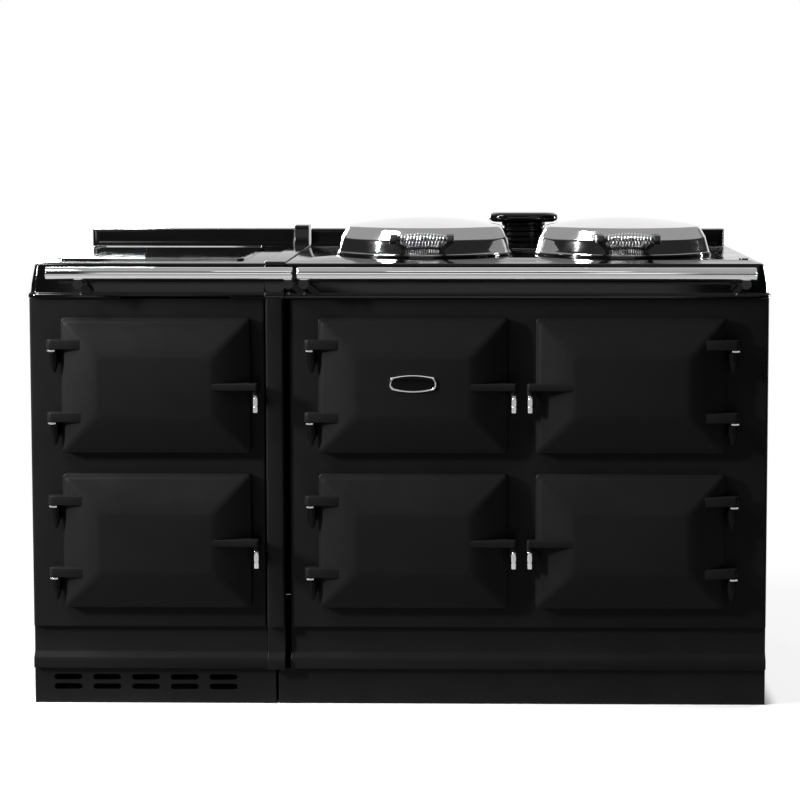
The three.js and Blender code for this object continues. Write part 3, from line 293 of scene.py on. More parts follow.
# Rolled sheet with a fine straight grain: features per metre, detail, roughness and stretch.
GRAIN = (900.0, 3.0, 0.6, (0.02, 1.0, 1.0))
BRUSHED = Finish("brushed_metal", (0.5, 0.5, 0.51), 0.32,
                 tones=((0.42, 0.42, 0.43), (0.55, 0.55, 0.56)), tone_noise=GRAIN,
                 shine=(0.26, 0.4), shine_noise=GRAIN, bumps=((GRAIN, 0.00003, 0.4),), metallic=1.0)

# Unenamelled iron: dark grey, grainy, with warmer patches.
IRON = Finish("bare_cast_iron", (0.06, 0.058, 0.055), 0.6,
              tones=((0.035, 0.034, 0.033), (0.085, 0.08, 0.075)), tone_noise=(12.0, 6.0),
              shine=(0.5, 0.75), shine_noise=(60.0, 6.0),
              bumps=(((420.0, 4.0), 0.00025, 0.5),), metallic=0.55)

# A hotplate's ground face, finer and brighter than the casting.
MACHINED = Finish("machined_iron", (0.09, 0.088, 0.085), 0.38,
                  tones=((0.06, 0.058, 0.056), (0.12, 0.117, 0.113)), tone_noise=(14.0, 6.0),
                  shine=(0.3, 0.5), shine_noise=(70.0, 5.0),
                  bumps=(((520.0, 3.0), 0.00006, 0.4),), metallic=0.85, slot="bare_cast_iron")

# Dull black sheet of the plinths and backs.
SHEET = Finish("black_sheet", (0.008, 0.008, 0.0085), 0.42,
               tones=((0.0065, 0.0065, 0.007), (0.0105, 0.0105, 0.011)), tone_noise=(10.0, 4.0),
               shine=(0.38, 0.48), shine_noise=(30.0, 5.0),
               bumps=(((1100.0, 2.0), 0.00004, 0.4),), Specular_IOR_Level=0.1)

# Black ceramic glass, wiped clean.
GLASS = Finish("hob_glass", (0.004, 0.004, 0.005), 0.03,
               tones=((0.0035, 0.0035, 0.0045), (0.005, 0.005, 0.006)), tone_noise=(8.0, 2.0),
               shine=(0.02, 0.06), shine_noise=(14.0, 5.0),
               Specular_IOR_Level=0.5, Coat_Weight=0.5, Coat_Roughness=0.02)

# Moulded black of the lids' posts and of the dials.
HANDLE = Finish("black_handle", (0.012, 0.012, 0.012), 0.35,
                tones=((0.010, 0.010, 0.010), (0.016, 0.016, 0.016)), tone_noise=(40.0, 4.0),
                shine=(0.3, 0.42), shine_noise=(80.0, 4.0),
                bumps=(((1500.0, 2.0), 0.00003, 0.3),))

# ------------------------------------------------------------------ mesh helpers

NEW_SMOOTH = 30             # degrees between faces up to which a new form is shaded smooth
KEPT_SMOOTH = 35            # the same for a form that comes from the frame
KEPT_EDGE = 30              # degrees between faces from which such a form's edges are rounded
FLAT = 1                    # degrees up to which its neighbouring faces are joined into one
SAME_POINT = 1e-6           # metres up to which its points are joined
ON_AXIS = 1e-7              # metres from an axis up to which a point lies on it
LEAST_SHARE = 0.5           # keeps a sharp corner from moving in more than twice as far


def new_piece(name, bm, body, finish, replaced=(), smooth=NEW_SMOOTH):
    """Turns a bmesh into an object with its shading and finish, riding on a body of the frame."""
    bmesh.ops.recalc_face_normals(bm, faces=bm.faces)
    mesh = bpy.data.meshes.new(name)
    bm.to_mesh(mesh)
    bm.free()
    mesh.polygons.foreach_set("use_smooth", [True] * len(mesh.polygons))
    mesh.set_sharp_from_angle(angle=math.radians(smooth))
    piece = bpy.data.objects.new(name, mesh)
    bpy.context.scene.collection.objects.link(piece)
    mesh.materials.clear()
    mesh.materials.append(finish.material)
    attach(piece, body)
    if replaced:
        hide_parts(*replaced)
    return piece


def merged(*parts):
    """One bmesh of several, which are used up."""
    whole = bmesh.new()
    for part in parts:
        mesh = bpy.data.meshes.new("scratch")
        part.to_mesh(mesh)
        part.free()
        whole.from_mesh(mesh)
        bpy.data.meshes.remove(mesh)
    return whole


def loft(rings):
    """Quads between closed rings of equally many points, with a face over each end."""
    bm = bmesh.new()
    rows = [[bm.verts.new(point) for point in ring] for ring in rings]
    count = len(rows[0])
    for lower, upper in zip(rows, rows[1:]):
        for i in range(count):
            j = (i + 1) % count
            bm.faces.new((lower[i], lower[j], upper[j], upper[i]))
    bm.faces.new(rows[0])
    bm.faces.new(list(reversed(rows[-1])))
    return bm


def turned(profile, facets):
    """A body turned about Z from (radius, z) points that start and end on the axis."""
    bm = bmesh.new()
    rows = []
    for radius, z in profile:
        if radius < ON_AXIS:
            rows.append([bm.verts.new((0.0, 0.0, z))])
            continue
        angles = [2 * math.pi * i / facets for i in range(facets)]
        rows.append([bm.verts.new((radius * math.cos(a), radius * math.sin(a), z)) for a in angles])
    for lower, upper in zip(rows, rows[1:]):
        for i in range(facets):
            j = (i + 1) % facets
            corners = [lower[i % len(lower)], lower[j % len(lower)],
                       upper[j % len(upper)], upper[i % len(upper)]]
            unique = list(dict.fromkeys(corners))
            if len(unique) > 2:
                bm.faces.new(unique)
    return bm


def arc(centre_u, centre_v, radius, start, end, steps):
    """Points of an arc; start and end are in half turns."""
    points = []
    for i in range(steps + 1):
        angle = (start + (end - start) * i / steps) * math.pi
        points.append((centre_u + radius * math.cos(angle), centre_v + radius * math.sin(angle)))
    return points


def rounded_rectangle(width, height, radius, steps):
    """Points (u, v) round a rectangle with round corners, about its middle."""
    points = []
    for side_u, side_v, turn in ((1, 1, 0.0), (-1, 1, 0.5), (-1, -1, 1.0), (1, -1, 1.5)):
        points += arc(side_u * (width / 2 - radius), side_v * (height / 2 - radius), radius,
                      turn, turn + 0.5, steps)
    return points


def between(first, second, share):
    """The point at a share of the way from the first to the second."""
    return (first[0] + (second[0] - first[0]) * share, first[1] + (second[1] - first[1]) * share)


def shrunk(outline, inset):
    """Moves each point of a closed outline inwards along its own normal."""
    if inset == 0:
        return list(outline)
    count = len(outline)
    area = sum(outline[i][0] * outline[(i + 1) % count][1]
               - outline[(i + 1) % count][0] * outline[i][1] for i in range(count))
    turn = 1 if area > 0 else -1
    points = []
    for i in range(count):
        before = Vector(outline[i - 1])
        here = Vector(outline[i])
        after = Vector(outline[(i + 1) % count])
        first = (here - before).normalized()
        second = (after - here).normalized()
        normal = (Vector((-(first.y + second.y), first.x + second.x)) * turn).normalized()
        share = max(abs(normal.dot(Vector((-first.y, first.x)))), LEAST_SHARE)
        step = here + normal * inset / share
        points.append((step.x, step.y))
    return points


def prism(outline, low_end, high_end, axis, soft, soft_steps=3):
    """An outline drawn out along X or Z, its end edges rounded by soft."""
    rings = []
    for i in range(soft_steps + 1):
        angle = 0.5 * math.pi * i / soft_steps
        rings.append((soft * (1 - math.sin(angle)), low_end + soft * (1 - math.cos(angle))))
    for i in range(soft_steps, -1, -1):
        angle = 0.5 * math.pi * i / soft_steps
        rings.append((soft * (1 - math.sin(angle)), high_end - soft * (1 - math.cos(angle))))
    if axis == "X":
        return loft([[(w, u, v) for u, v in shrunk(outline, inset)] for inset, w in rings])
    return loft([[(u, v, w) for u, v in shrunk(outline, inset)] for inset, w in rings])


def tube(path, radius, sides):
    """A round tube along points, with no twist."""
    rings = []
    normal = None
    for i, point in enumerate(path):
        tangent = (path[min(i + 1, len(path) - 1)] - path[max(i - 1, 0)]).normalized()
        if normal is None:
            normal = tangent.orthogonal()
        normal = (normal - tangent * normal.dot(tangent)).normalized()
        across = tangent.cross(normal)
        rings.append([
            point + radius * (normal * math.cos(2 * math.pi * k / sides)
                              + across * math.sin(2 * math.pi * k / sides))
            for k in range(sides)
        ])
    return loft(rings)


def moved(bm, offset):
    bmesh.ops.translate(bm, verts=bm.verts, vec=Vector(offset))
    return bm


def turned_to(bm, axis):
    """Turns a body made about Z so that it points along +X or +Y."""
    angles = {"X": Matrix.Rotation(math.pi / 2, 3, "Y"), "Y": Matrix.Rotation(-math.pi / 2, 3, "X")}
    bmesh.ops.rotate(bm, verts=bm.verts, cent=(0, 0, 0), matrix=angles[axis])
    return bm


def rod(end, facets):
    """A rod along X about its middle; end is the (radius, distance) points of either end."""
    profile = [(radius, -distance) for radius, distance in end]
    profile += [(radius, distance) for radius, distance in reversed(end)]
    return turned_to(turned(profile, facets), "X")


def mirrored(bm):
    """The body's mirror image in X, faces kept outwards."""
    bmesh.ops.scale(bm, verts=bm.verts, vec=(-1, 1, 1))
    bmesh.ops.reverse_faces(bm, faces=bm.faces)
    return bm


def body_of(node):
    return frame["nodes"][node]["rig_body"]


def softened(node, finish, width, segments=2, edge=KEPT_EDGE, smooth=KEPT_SMOOTH):
    """The node's own form with its edges rounded, as a casting or pressing has them."""
    bm = bmesh.new()
    bm.from_mesh(frame["nodes"][node].data)
    bmesh.ops.remove_doubles(bm, verts=bm.verts, dist=SAME_POINT)
    bmesh.ops.dissolve_limit(bm, angle_limit=math.radians(FLAT), verts=bm.verts, edges=bm.edges)
    piece = new_piece(f"{node}_soft", bm, body_of(node), finish, (node,), smooth)
    bevel = piece.modifiers.new("edges", "BEVEL")
    bevel.width = width
    bevel.segments = segments
    bevel.limit_method = "ANGLE"
    bevel.angle_limit = math.radians(edge)
    return piece

# ------------------------------------------------------------------ doors

DOOR_LAP = 23 * MM          # door's edge outside its lining, at the sides
DOOR_SEAT = 0.5 * MM        # its back ahead of the front plate
DOOR_CORNER = 7 * MM
CORNER_GROWTH = 0.08        # how a corner's radius grows with the distance in from the edge
FLANGE = 17 * MM            # thickness at the door's edge
FLANGE_EDGE = 3 * MM        # radius of its round edge
FLANGE_EDGE_STEPS = 4
RISE = 29 * MM              # from the flange to the raised middle
BEVEL = 78 * MM             # width of the sloping border
BEVEL_CURVE = 1.3           # how it bends softly into the raised middle
BEVEL_STEPS = 16
HINGE_OUT = 13 * MM         # hinge axis outside the door's edge
HINGE_AHEAD = 20 * MM       # and ahead of the front plate
ARM_RADIUS = 11 * MM
ARM_HEIGHT = 20 * MM
ARM_ON_DOOR = 44 * MM       # how far an arm runs in from the door's edge
ARM_END_OUT = 4 * MM        # middle of an arm's round end beyond the axis
ARM_PROUD = 1.5 * MM
ARM_TIP = 5 * MM
ARM_EDGE = 2.2 * MM
CAST_SINK = 2 * MM          # how deep arms are set into the door's face
UPPER_ARM_DROP = 52 * MM
LOWER_ARM_RISE = 73 * MM
FIN_HEIGHT = 14 * MM
FIN_OUT = 18 * MM
FIN_ON_DOOR = 78 * MM
FIN_DEPTH = 20 * MM
FIN_BEHIND = 0.5 * MM       # its front behind the raised middle
FIN_END = 5 * MM            # radius of its end, at the front
FIN_CHAMFER = 3 * MM
FIN_FOOT = 4 * MM           # how deep it is set into the flange
FIN_EDGE = 2 * MM
GRIP_OUT = 12 * MM
GRIP_SET_BACK = 1 * MM      # its axis behind the fin's middle
GRIP_Y = -FLANGE - RISE + FIN_DEPTH / 2 + GRIP_SET_BACK
GRIP_RADIUS = 6 * MM
GRIP_LENGTH = 36 * MM
GRIP_GAP = 0.3 * MM         # under the boss
GRIP_TOP = ((1.2 * MM, 0.0), (0.4 * MM, 0.4 * MM), (0.0, 1.2 * MM))  # its top edge, (in, down)
GRIP_GROOVES = (5.5 * MM, 21.5 * MM)
GRIP_GROOVE = ((0.0, 1.3 * MM), (0.3 * MM, 0.8 * MM), (1.2 * MM, 0.5 * MM))  # (in, off its middle)
GRIP_TIP = 2.6 * MM         # height of its round tip
GRIP_TIP_ANGLES = (0.35, 0.7, 1.05, 1.3)
BOSS_RADIUS = 6.5 * MM
BOSS_HEIGHT = 9 * MM
BOSS_CHAMFER = 1 * MM
LINING_EDGE = 2 * MM
WASHER_RADIUS = 10.4 * MM   # bright disc under an arm's round end
WASHER_HEIGHT = 4 * MM
WASHER_EDGE = 0.6 * MM
WASHER_GAP = 0.4 * MM
BADGE_WIDTH = 92 * MM
BADGE_HEIGHT = 35 * MM
BADGE_BULGE = 5 * MM        # how much its long edges bow out
BADGE_BULGE_STEPS = 24
BADGE_CUT = (4 * MM, 6 * MM)  # its cut corners, along and up
BADGE_ASIDE = 1 * MM        # its middle to the right of the door's
BADGE_RAISED = 8.5 * MM     # and over it
BADGE_RIM = (               # (in from the outline, ahead of the door's face)
    (0.0, -0.5 * MM),
    (0.0, 2.0 * MM),
    (0.5 * MM, 2.9 * MM),
    (1.2 * MM, 3.2 * MM),
    (2.6 * MM, 3.2 * MM),
    (3.4 * MM, 2.2 * MM),
)
BADGE_FIELD = ((2.8 * MM, 0.5 * MM), (2.8 * MM, 2.5 * MM), (5.4 * MM, 2.9 * MM))


class Door:
    """A door's places: hand is -1 where it is hinged on its left, +1 on its right."""

    def __init__(self, name, hand):
        self.name = name
        self.hand = hand
        lining = middle(name + "_lining")
        self.x = lining.x
        self.z = lining.z
        self.height = high(name).z - low(name).z
        self.width = high(name + "_lining").x - low(name + "_lining").x + 2 * DOOR_LAP
        self.hinge_x = self.x + hand * (self.width / 2 + HINGE_OUT)
        self.arm_heights = (self.height / 2 - UPPER_ARM_DROP, LOWER_ARM_RISE - self.height / 2)


BADGED_DOOR = Door("main_upper_left_door", -1)
DOORS = [
    Door("left_upper_door", -1),
    Door("left_lower_door", -1),
    BADGED_DOOR,
    Door("main_lower_left_door", -1),
    Door("main_upper_right_door", 1),
    Door("main_lower_right_door", 1),
]


def bevel_rise(inset):
    """Height of a door's face over its flange, at a distance in from its edge."""
    left = 1 - min(inset / BEVEL, 1.0)
    return RISE * (1 - left ** BEVEL_CURVE)


def door_face(door):
    """The cast front: a flange with a round edge, a sloping border and a raised middle."""
    steps = [(0.0, -DOOR_SEAT), (0.0, FLANGE_EDGE - FLANGE)]
    for i in range(1, FLANGE_EDGE_STEPS + 1):
        angle = 0.5 * math.pi * i / FLANGE_EDGE_STEPS
        steps.append((FLANGE_EDGE * (1 - math.cos(angle)),
                      FLANGE_EDGE - FLANGE - FLANGE_EDGE * math.sin(angle)))
    for i in range(1, BEVEL_STEPS + 1):
        inset = FLANGE_EDGE + (BEVEL - FLANGE_EDGE) * i / BEVEL_STEPS
        steps.append((inset, -FLANGE - bevel_rise(inset)))
    rings = []
    for inset, depth in steps:
        radius = DOOR_CORNER + CORNER_GROWTH * inset
        points = rounded_rectangle(door.width - 2 * inset, door.height - 2 * inset, radius, steps=5)
        rings.append([(u, depth, v) for u, v in points])
    return loft(rings)


def door_arm(door, z):
    """A knuckle over the pin and an arm that dies into the sloping border, for a left hinge."""
    edge = -door.width / 2
    axis = edge - HINGE_OUT
    tip = ARM_ON_DOOR - ARM_TIP
    plan = arc(axis - ARM_END_OUT, -HINGE_AHEAD, ARM_RADIUS, 1.5, 0.5, steps=10)
    plan += [
        (edge, ARM_RADIUS - HINGE_AHEAD),
        (edge + ARM_ON_DOOR, CAST_SINK - FLANGE),
        (edge + ARM_ON_DOOR, CAST_SINK - FLANGE - bevel_rise(ARM_ON_DOOR)),
        (edge + tip, -FLANGE - bevel_rise(tip) - ARM_PROUD),
        (edge, -HINGE_AHEAD - ARM_RADIUS),
    ]
    return prism(plan, z - ARM_HEIGHT / 2, z + ARM_HEIGHT / 2, "Z", ARM_EDGE)


def door_fin(door):
    """The fin at mid height that carries the grip, out past the free edge."""
    edge = door.width / 2
    face = -FLANGE - RISE
    front = face + FIN_BEHIND
    back = face + FIN_DEPTH
    plan = [
        (edge - FIN_ON_DOOR, front),
        (edge + FIN_OUT - FIN_END, front),
        *arc(edge + FIN_OUT - FIN_END, face + (FIN_BEHIND + FIN_END), FIN_END, 1.5, 2.0, steps=5),
        (edge + FIN_OUT, back - FIN_CHAMFER),
        (edge + FIN_OUT - FIN_CHAMFER, back),
        (edge, back),
        (edge - FIN_CHAMFER, FIN_FOOT - FLANGE),
        (edge - FIN_ON_DOOR, FIN_FOOT - FLANGE),
    ]
    return prism(plan, -FIN_HEIGHT / 2, FIN_HEIGHT / 2, "Z", FIN_EDGE)


def fin_boss(door):
    """The black boss under the fin's end that holds the grip."""
    bottom = -BOSS_HEIGHT - FIN_HEIGHT / 2
    profile = [(0.0, 0.0), (BOSS_RADIUS, 0.0), (BOSS_RADIUS, bottom + BOSS_CHAMFER),
               (BOSS_RADIUS - BOSS_CHAMFER, bottom), (0.0, bottom)]
    return moved(turned(profile, facets=32), (door.width / 2 + GRIP_OUT, GRIP_Y, 0.0))


def door_grip(door):
    """A turned chrome grip with two grooves, hanging under the boss."""
    profile = [(0.0, 0.0)]
    profile += [(GRIP_RADIUS - depth, -drop) for depth, drop in GRIP_TOP]
    for drop in GRIP_GROOVES:
        profile += [(GRIP_RADIUS - depth, off - drop) for depth, off in GRIP_GROOVE]
        profile += [(GRIP_RADIUS - depth, -drop - off) for depth, off in reversed(GRIP_GROOVE)]
    tip = GRIP_TIP - GRIP_LENGTH
    profile.append((GRIP_RADIUS, tip))
    profile += [(GRIP_RADIUS * math.cos(a), tip - GRIP_TIP * math.sin(a)) for a in GRIP_TIP_ANGLES]
    profile.append((0.0, -GRIP_LENGTH))
    return moved(turned(profile, facets=40), (door.width / 2 + GRIP_OUT, GRIP_Y,
                                              -FIN_HEIGHT / 2 - BOSS_HEIGHT - GRIP_GAP))


def add_door(door):
    casting = merged(door_face(door), door_fin(door), fin_boss(door),
                     *[door_arm(door, z) for z in door.arm_heights])
    grip = door_grip(door)
    if door.hand > 0:
        mirrored(casting)
        mirrored(grip)
    place = (door.x, FRONT_Y, door.z)
    body = body_of(door.name)
    new_piece(f"{door.name}_casting", moved(casting, place), body, SATIN, (door.name,))
    new_piece(f"{door.name}_grip_turned", moved(grip, place), body, CHROME, (f"{door.name}_grip",))
    softened(f"{door.name}_lining", BRUSHED, LINING_EDGE, segments=3)


def add_washers(door):
    """Bright discs on the brackets, under the round ends of the arms."""
    discs = []
    for z in door.arm_heights:
        profile = [(0.0, -WASHER_HEIGHT), (WASHER_RADIUS - WASHER_EDGE, -WASHER_HEIGHT),
                   (WASHER_RADIUS, WASHER_EDGE - WASHER_HEIGHT), (WASHER_RADIUS, -WASHER_EDGE),
                   (WASHER_RADIUS - WASHER_EDGE, 0.0), (0.0, 0.0)]
        place = (door.hinge_x + door.hand * ARM_END_OUT, FRONT_Y - HINGE_AHEAD,
                 door.z + z - ARM_HEIGHT / 2 - WASHER_GAP)
        discs.append(moved(turned(profile, facets=32), place))
    new_piece(f"{door.name}_washers", merged(*discs), body_of("left_front_plate"), CHROME)


def badge_outline(inset):
    """Points (u, v) round a badge with bowed long edges and cut corners."""
    half_width = BADGE_WIDTH / 2 - inset
    end_height = BADGE_HEIGHT / 2 - inset - BADGE_BULGE
    along, up = BADGE_CUT
    upper = []
    for i in range(BADGE_BULGE_STEPS + 1):
        u = 1 - 2 * i / BADGE_BULGE_STEPS
        upper.append((u * (half_width - along), end_height + BADGE_BULGE * (1 - u * u)))
    side = [(-half_width, end_height - up), (-half_width, -end_height + up)]
    half = upper + side
    return half + [(-u, -v) for u, v in half]


def badge_part(profile):
    return loft([[(u, -ahead, v) for u, v in badge_outline(inset)] for inset, ahead in profile])


def add_badge(door):
    """A bare badge on the door's raised middle: a bright rim round a plain black field."""
    place = (door.x + BADGE_ASIDE, FRONT_Y - FLANGE - RISE, door.z + BADGE_RAISED)
    for name, profile, finish in (("badge_rim", BADGE_RIM, CHROME), ("badge_field", BADGE_FIELD, BRACKET_SHADE_AND_BADGE_BLACK)):
        new_piece(name, moved(badge_part(profile), place), body_of(door.name), finish)


for each in DOORS:
    add_door(each)
    add_washers(each)
add_badge(BADGED_DOOR)

# ------------------------------------------------------------------ hotplates and lids

LID_RADIUS = 185 * MM
LID_FOOT = 3.4 * MM         # height at which the wall leaves the rim
LID_CREASE_IN = 8 * MM
LID_CREASE = 33 * MM        # height of the crease between wall and band
LID_CREASE_SOFT = ((0.5 * MM, -0.9 * MM), (-0.3 * MM, 0.6 * MM))  # points (out, up) beside it
LID_SHOULDER_IN = 20.5 * MM
LID_BAND = 55 * MM          # upper end of the sloping band
LID_WALL = 57 * MM
LID_DOME = 16.5 * MM
LID_BEND = 4 * MM
LID_BEND_ARC = (0.25, 0.46)  # where the bend starts and ends, in half turns
LID_STEPS = {"wall": 5, "band": 4, "bend": 4, "dome": 16}
LID_SHEET = 3 * MM
LID_RIM = (                 # the rolled rim, (out from the wall, up from the lid's base)
    (-LID_SHEET, 0.2 * MM),
    (0.5 * MM, 0.0),
    (1.2 * MM, 0.3 * MM),
    (1.5 * MM, 1.0 * MM),
    (1.5 * MM, 2.0 * MM),
    (1.1 * MM, 2.7 * MM),
    (0.2 * MM, 3.0 * MM),
)
LID_HINGE_HEIGHT = 25 * MM  # hinge axis over the top plate
BARREL_RADIUS = 9 * MM
BARREL_END = ((0.0, 30 * MM), (8 * MM, 30 * MM), (BARREL_RADIUS, 29 * MM))
PIN_END = ((0.0, 44.3 * MM), (4.2 * MM, 44.3 * MM), (5 * MM, 43.5 * MM))
TONGUE_HALF = (24 * MM, 5 * MM)  # half its width and half its height
TONGUE_SINK = 8 * MM        # how far it reaches in from the foot of the wall
TONGUE_EDGE = 1.2 * MM
PAD_EDGE = 1.5 * MM
COIL_LENGTH = 100 * MM
COIL_TURNS = 14
COIL_TURN_STEPS = 20
COIL_WIRE = 1.9 * MM
COIL_END = 6.6 * MM         # radius at its ends
COIL_MIDDLE = 12 * MM       # and in the middle
COIL_SWELL = 0.7            # how soon it swells: less is sooner
COIL_STRAIGHT = 2 * COIL_WIRE  # length of its straight ends
COIL_GAP = 0.3 * MM         # between the wire's end and the post
BAR_RADIUS = 3.4 * MM
BAR_IN_POST = 2 * MM
HANDLE_SMOOTH = 35          # degrees between faces up to which the posts are shaded smooth
COIL_SMOOTH = 60            # and the coil
POST_WIDTH = 15 * MM
POST_RADIUS = 9 * MM
POST_ROOT = 30 * MM         # how far it reaches in from the foot of the wall
POST_EDGE = 2.5 * MM
HOTPLATE_NECK_IN = 4 * MM   # its lower part inside its flange
HOTPLATE_FLANGE = (20 * MM, 19 * MM)  # depths at which the flange begins and has its full width
HOTPLATE_EDGE = 3 * MM
HOTPLATE_EDGE_ANGLES = (0.4, 0.8, 1.2, 1.57)
TURNED_LINES = (9 * MM, 22 * MM, 60 * MM, 100 * MM)  # how far in the turned lines of its face are
TURNED_LINE = (0.5 * MM, 0.35 * MM)  # half the width and the depth of one


class Lid:
    """A lid's places, from its pad, its hinge's barrel and its handle's coil."""

    def __init__(self, name, hotplate):
        self.name = name
        self.hotplate = hotplate
        self.x = middle(f"{name}_pad").x
        self.y = middle(f"{name}_pad").y
        self.base = low(name).z
        self.handle_y = middle(f"{name}_handle_coil").y
        self.handle_z = middle(f"{name}_handle_coil").z
        self.hinge_y = high(name).y - BARREL_RADIUS
        self.hinge_z = TOP_Z + LID_HINGE_HEIGHT


LIDS = [Lid("left_lid", "left_hotplate"), Lid("right_lid", "right_hotplate")]


def lid_outside(grow=0.0):
    """(radius, height over the lid's base): wall, crease, sloping band, shoulder and dome."""
    foot = (LID_RADIUS, LID_FOOT)
    crease = (LID_RADIUS - LID_CREASE_IN, LID_CREASE)
    band_top = (LID_RADIUS - LID_SHOULDER_IN, LID_BAND)
    points = [foot]
    for i in range(1, LID_STEPS["wall"]):
        points.append(between(foot, crease, i / LID_STEPS["wall"]))
    points += [(crease[0] + out, crease[1] + up) for out, up in LID_CREASE_SOFT]
    for i in range(1, LID_STEPS["band"] + 1):
        points.append(between(crease, band_top, i / LID_STEPS["band"]))
    points += arc(LID_RADIUS - LID_SHOULDER_IN - LID_BEND, LID_WALL - LID_BEND, LID_BEND,
                  *LID_BEND_ARC, LID_STEPS["bend"])
    radius, height = points[-1]
    for i in range(1, LID_STEPS["dome"] + 1):
        share = 1 - i / LID_STEPS["dome"]
        points.append((radius * share, height + LID_DOME * (1 - share ** 2)))
    return [(radius + grow if radius > 0 else 0.0, z + grow) for radius, z in points]


def lid_cover(lid):
    """A spun cover with a rolled rim, and its hinge tongue, barrel and pin."""
    inside = lid_outside(-LID_SHEET)
    rim = [(LID_RADIUS + out, up) for out, up in LID_RIM]
    cover = turned(inside[::-1] + rim + lid_outside(), facets=144)
    wall = lid.y + LID_RADIUS - TONGUE_SINK - lid.hinge_y
    width, height = TONGUE_HALF
    tongue = prism([(wall, -height), (0.0, -height), (0.0, height), (wall, height)],
                   -width, width, "X", TONGUE_EDGE)
    hinge = (lid.x, lid.hinge_y, lid.hinge_z)
    return merged(moved(cover, (lid.x, lid.y, lid.base)), moved(rod(BARREL_END, facets=32), hinge),
                  moved(rod(PIN_END, facets=24), hinge), moved(tongue, hinge))


def lid_handle(lid):
    """The black posts and bar; each post runs back into the lid's wall."""
    reach = COIL_LENGTH / 2
    bar_end = reach + BAR_IN_POST
    root = lid.y - LID_RADIUS + POST_ROOT - lid.handle_y
    parts = [rod(((0.0, bar_end), (BAR_RADIUS, bar_end)), facets=20)]
    for side in (-1, 1):
        near = side * reach
        far = side * (reach + POST_WIDTH)
        plan = arc(0.0, 0.0, POST_RADIUS, 0.5, 1.5, steps=14)
        plan += [(root, -POST_RADIUS), (root, POST_RADIUS)]
        parts.append(prism(plan, min(near, far), max(near, far), "X", POST_EDGE, soft_steps=4))
    return moved(merged(*parts), (lid.x, lid.handle_y, lid.handle_z))


def lid_coil(lid):
    """Straight out of one post, a barrel-shaped helix, and straight into the other."""
    straight = COIL_STRAIGHT
    start = -COIL_LENGTH / 2 + COIL_GAP
    wound = -2 * start - 2 * straight
    points = [(start, 0.0, COIL_END)]
    steps = COIL_TURNS * COIL_TURN_STEPS
    for i in range(steps + 1):
        share = i / steps
        angle = 2 * math.pi * i / COIL_TURN_STEPS
        radius = COIL_END + (COIL_MIDDLE - COIL_END) * math.sin(math.pi * share) ** COIL_SWELL
        points.append((start + straight + wound * share, radius * math.sin(angle),
                       radius * math.cos(angle)))
    points.append((-start, 0.0, COIL_END))
    place = Vector((lid.x, lid.handle_y, lid.handle_z))
    return tube([place + Vector(point) for point in points], COIL_WIRE, sides=12)


def hotplate_body(radius, thickness):
    """A machined plate with fine turned lines on its face, its top at z = 0."""
    neck = radius - HOTPLATE_NECK_IN
    flange_low, flange_high = HOTPLATE_FLANGE
    half_width, depth = TURNED_LINE
    profile = [(0.0, -thickness), (neck, -thickness), (neck, -flange_low), (radius, -flange_high),
               (radius, -HOTPLATE_EDGE)]
    profile += [(radius - HOTPLATE_EDGE * (1 - math.cos(a)), -HOTPLATE_EDGE + HOTPLATE_EDGE * math.sin(a))
                for a in HOTPLATE_EDGE_ANGLES]
    for inset in TURNED_LINES:
        line = radius - inset
        profile += [(line + half_width, 0.0), (line, -depth), (line - half_width, 0.0)]
    profile.append((0.0, 0.0))
    return turned(profile, facets=128)


def add_lid(lid):
    body = body_of(lid.name)
    new_piece(f"{lid.name}_cover", lid_cover(lid), body, LID_METAL, (lid.name,))
    softened(f"{lid.name}_pad", BRUSHED, PAD_EDGE, segments=3)
    new_piece(f"{lid.name}_posts", lid_handle(lid), body, HANDLE, (f"{lid.name}_handle",),
              HANDLE_SMOOTH)
    new_piece(f"{lid.name}_coil", lid_coil(lid), body, CHROME, (f"{lid.name}_handle_coil",),
              COIL_SMOOTH)


def add_hotplate(lid):
    name = lid.hotplate
    plate = hotplate_body((high(name).x - low(name).x) / 2, high(name).z - low(name).z)
    new_piece(f"{name}_machined", moved(plate, (lid.x, lid.y, high(name).z)), body_of(name),
              MACHINED, (name,))


for each in LIDS:
    add_lid(each)
    add_hotplate(each)

# ------------------------------------------------------------------ handrails

RAIL_RADIUS = 12.5 * MM
RAIL_END_BEND = 3 * MM
RAIL_END_ANGLES = (0.0, 0.4, 0.8, 1.2, 1.5708)
RAIL_POST_RADIUS = 10 * MM
RAIL_POST_AHEAD = 4 * MM    # a post's front end ahead of the rail's axis
RAIL_POST_FOOT = 6 * MM     # its last stretch before the apron
RAIL_POST_EDGE = (1 * MM, 1.2 * MM)  # how its back edge is cut, in and along
RAIL_POST_INSETS = {        # the posts' middles from the rail's left and right end
    "left_handrail": (63 * MM, 8.5 * MM),
    "main_handrail": (13 * MM, 20 * MM),
}
RAIL_POST_DROP = 20 * MM    # rail's middle to the posts' middle


